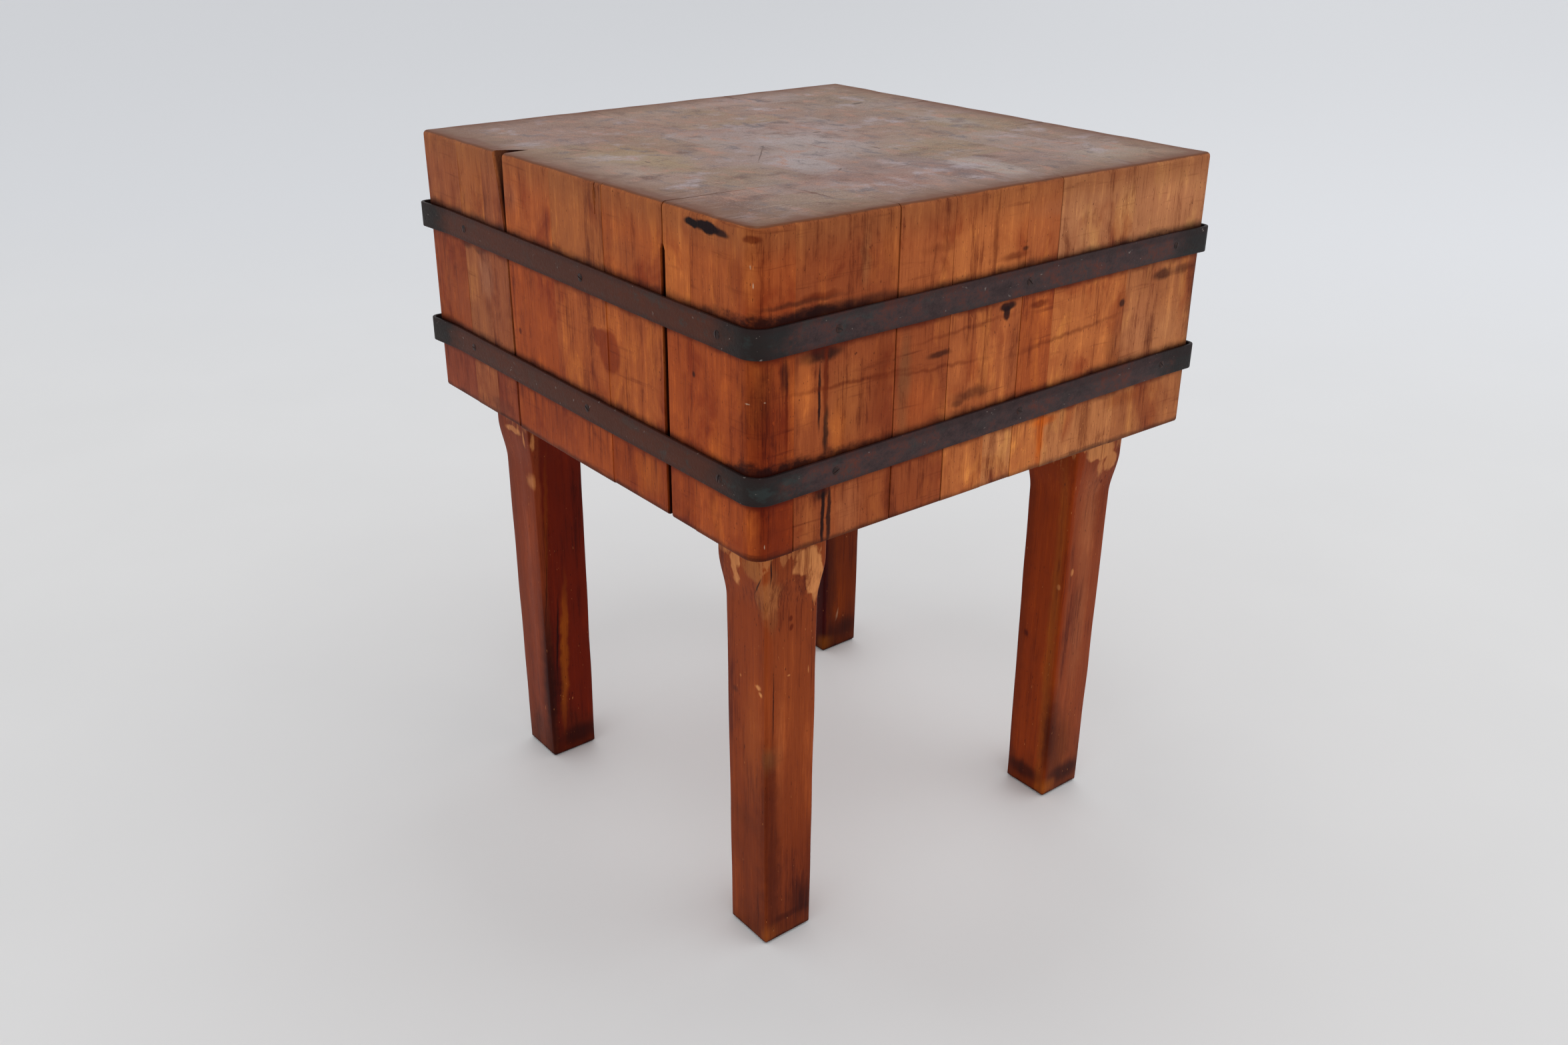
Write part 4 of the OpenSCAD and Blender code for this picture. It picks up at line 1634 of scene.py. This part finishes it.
@dataclass
class Screws:
    """A band's slotted wood screws, three to a side."""

    node: str
    band_node: str
    name: str
    lift: float
    seed: int
    head_radius: float = 4.5 * MM
    head_height: float = 2.6 * MM
    shank_radius: float = 2.25 * MM
    length: float = 40 * MM
    dome: float = 0.9 * MM
    dome_edge: float = 0.35 * MM
    slot_width: float = 1.2 * MM
    slot_depth: float = 1.1 * MM
    shares: tuple[float, ...] = (-0.35, 0.05, 0.42)

    def build(self) -> bpy.types.Object:
        """Builds one screw and sets a turned copy of it in each of its places."""
        chance = random.Random(self.seed)
        box = Box.of(self.band_node)
        bm = bmesh.new()
        for quarter in range(4):
            span = BLOCK.size[quarter % 2]
            out = box.size[1 - quarter % 2] / 2
            facing = Matrix.Rotation(quarter * math.pi / 2, 4, "Z")
            lying = Matrix.Rotation(math.pi / 2, 4, "X")
            for share in self.shares:
                place = facing @ Matrix.Translation((share * span, -out, 0))
                height = box.middle.z + band_rise(self.lift, place.translation.x)
                place = Matrix.Translation((0, 0, height)) @ place
                turn = lying @ Matrix.Rotation(chance.uniform(0, math.pi), 4, "Z")
                self.add_screw(bm, place @ turn)
        return piece_from(bm, self.name)

    def add_screw(self, bm: bmesh.types.BMesh, place: Matrix) -> None:
        """Adds one screw, drawn with its head up the Z axis, at a place."""
        one = bmesh.new()
        shank = Matrix.Translation((0, 0, -self.length / 2))
        bmesh.ops.create_cone(
            one, cap_ends=True, segments=24, radius1=self.shank_radius, radius2=self.shank_radius,
            depth=self.length, matrix=shank,
        )
        cap = max(one.faces, key=lambda f: f.calc_center_median().z)
        bmesh.ops.translate(one, verts=cap.verts[:], vec=(0, 0, -self.head_height))
        rim = [cap]
        rings = ((1, self.head_height), (0.96, self.dome_edge), (0.6, self.dome - self.dome_edge))
        for share, height in rings:
            rim = self.grow(one, rim, self.head_radius * share, height)
        cut(one, 1, (-self.slot_width / 2, self.slot_width / 2))
        middles = {f: f.calc_center_median() for f in one.faces if f.normal.z > 0.5}
        floor = [f for f, middle in middles.items() if middle.z > 0 and abs(middle.y) < self.slot_width / 2]
        sunk = bmesh.ops.extrude_face_region(one, geom=floor)["geom"]
        bmesh.ops.delete(one, geom=[f for f in floor if f.is_valid], context="FACES")
        verts = [g for g in sunk if isinstance(g, bmesh.types.BMVert)]
        bmesh.ops.translate(one, verts=verts, vec=(0, 0, -self.slot_depth))
        bmesh.ops.transform(one, matrix=place, verts=one.verts[:])
        part = bpy.data.meshes.new("screw")
        one.to_mesh(part)
        one.free()
        bm.from_mesh(part)
        bpy.data.meshes.remove(part)

    def grow(self, bm: bmesh.types.BMesh, cap: list, radius: float, height: float) -> list:
        """Extrudes a round cap up by a height and out or in to a radius."""
        made = bmesh.ops.extrude_face_region(bm, geom=cap)["geom"]
        bmesh.ops.delete(bm, geom=[f for f in cap if f.is_valid], context="FACES_ONLY")
        verts = [g for g in made if isinstance(g, bmesh.types.BMVert)]
        bmesh.ops.translate(bm, verts=verts, vec=(0, 0, height))
        now = max(v.co.xy.length for v in verts)
        bmesh.ops.scale(bm, verts=verts, vec=(radius / now, radius / now, 1))
        return [g for g in made if isinstance(g, bmesh.types.BMFace)]


# ---------------------------------------------------------------- the studio


@dataclass(frozen=True)
class Studio:
    """A pale floor, soft light all round and the camera."""

    eye: Vector = Vector((-1.0928, -1.3413, 1.1872))
    aim: Vector = Vector((-0.1081, -0.1012, 0.4422))
    roll: float = math.radians(0.41)
    lens: float = 33.03
    sensor: float = 36.0
    horizon: float = 1.10
    zenith: float = 0.56
    lamp_power: float = 60.0
    floor_reach: float = 30.0

    def build(self) -> None:
        """Makes the floor, the world's light, the lamps and the camera."""
        self.make_floor()
        self.make_light()
        self.make_camera()

    def make_floor(self) -> None:
        """Makes a wide pale floor, with painted light in its colour: paler under the table, and beyond it
        from a little darker on the left to lighter on the right.
        """
        bm = bmesh.new()
        bmesh.ops.create_grid(bm, x_segments=8, y_segments=8, size=self.floor_reach)
        floor = piece_from(bm, "studio_floor")
        net = Net("pale_floor")
        scuffs = net.noise(net.place, 2.2, 3, 0.5)
        near = net.ramp(scuffs, ((0.3, rgb(233, 233, 233)), (0.7, rgb(236, 236, 236))))
        # painted light: the floor is paler under the table, where the table's shadow falls
        under = (net.x * net.x + net.y * net.y).between(0.26, 0.04)
        near = net.mix(near, rgb(250, 250, 250), under)
        # painted light: beyond the table the floor goes from a little darker on the left to lighter on the
        # right
        far = net.mix(rgb(231, 233, 237), rgb(243, 245, 249), (net.x - net.y).between(-3.0, 5.0))
        colour = net.mix(near, far, (net.x + net.y).between(0.4, 5.0))
        floor.data.materials.append(net.finish(colour, 0.55, 0.3))

    def make_light(self) -> None:
        """Lights the scene evenly, with a broad soft lamp overhead."""
        scene = bpy.context.scene
        scene.view_settings.view_transform = "Standard"
        world = bpy.data.worlds.new("soft_daylight")
        world.use_nodes = True
        nodes, links = world.node_tree.nodes, world.node_tree.links
        back = nodes["Background"]
        back.inputs["Color"].default_value = (0.985, 0.99, 1.0, 1)
        split = nodes.new("ShaderNodeSeparateXYZ")
        links.new(nodes.new("ShaderNodeTexCoord").outputs["Generated"], split.inputs[0])
        fade = nodes.new("ShaderNodeMapRange")
        for name, value in (("From Max", 1.0), ("To Min", self.horizon), ("To Max", self.zenith)):
            fade.inputs[name].default_value = value
        links.new(split.outputs["Z"], fade.inputs["Value"])
        links.new(fade.outputs[0], back.inputs["Strength"])
        scene.world = world
        for name, place, size, power in (
            ("lamp_overhead", (0.4, -0.4, 6.0), 7.0, self.lamp_power),
            ("lamp_right", (3.5, -4.0, 3.5), 4.0, self.lamp_power * 0.4),
        ):
            lamp = bpy.data.lights.new(name, "AREA")
            lamp.shape, lamp.size, lamp.energy = "SQUARE", size, power
            holder = bpy.data.objects.new(name, lamp)
            holder.location = place
            sight = Vector((0, 0, 0.5)) - Vector(place)
            holder.rotation_euler = sight.to_track_quat("-Z", "Y").to_euler()
            scene.collection.objects.link(holder)

    def make_camera(self) -> None:
        """Puts the camera over the block's near corner."""
        camera = bpy.data.cameras.new("camera")
        camera.lens, camera.sensor_width = self.lens, self.sensor
        holder = bpy.data.objects.new("camera", camera)
        turn = (self.aim - self.eye).to_track_quat("-Z", "Y").to_matrix().to_4x4()
        holder.matrix_world = Matrix.Translation(self.eye) @ turn @ Matrix.Rotation(self.roll, 4, "Z")
        bpy.context.scene.collection.objects.link(holder)
        bpy.context.scene.camera = holder


def main() -> None:
    """Builds the studio, then the whole table in the order a maker would."""
    logging.basicConfig(level=logging.INFO, format="%(name)s: %(message)s")
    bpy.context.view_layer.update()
    Studio().build()
    leg_nodes = sorted(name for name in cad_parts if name.startswith("leg_"))
    legs = [Leg(name, 1.7 * k) for k, name in enumerate(leg_nodes)]
    Block().build([leg.tenon for leg in legs])
    for leg in legs:
        hand_over(leg.build(), leg.node, leg.finish())
    steel = ScrewSteel().material()
    for number, (where, box, lift) in enumerate(BANDS):
        node = where + "_band"
        band = Band(node, where + "_iron_band", lift, number + 0.5)
        iron = BandIron("iron_" + where, box, number * 3.0)
        hand_over(band.build(), node, iron.material())
        screws = Screws(node + "_screws", node, where + "_slotted_screws", lift, number)
        hand_over(screws.build(), node + "_screws", steel)


if __name__ == "__main__":
    main()
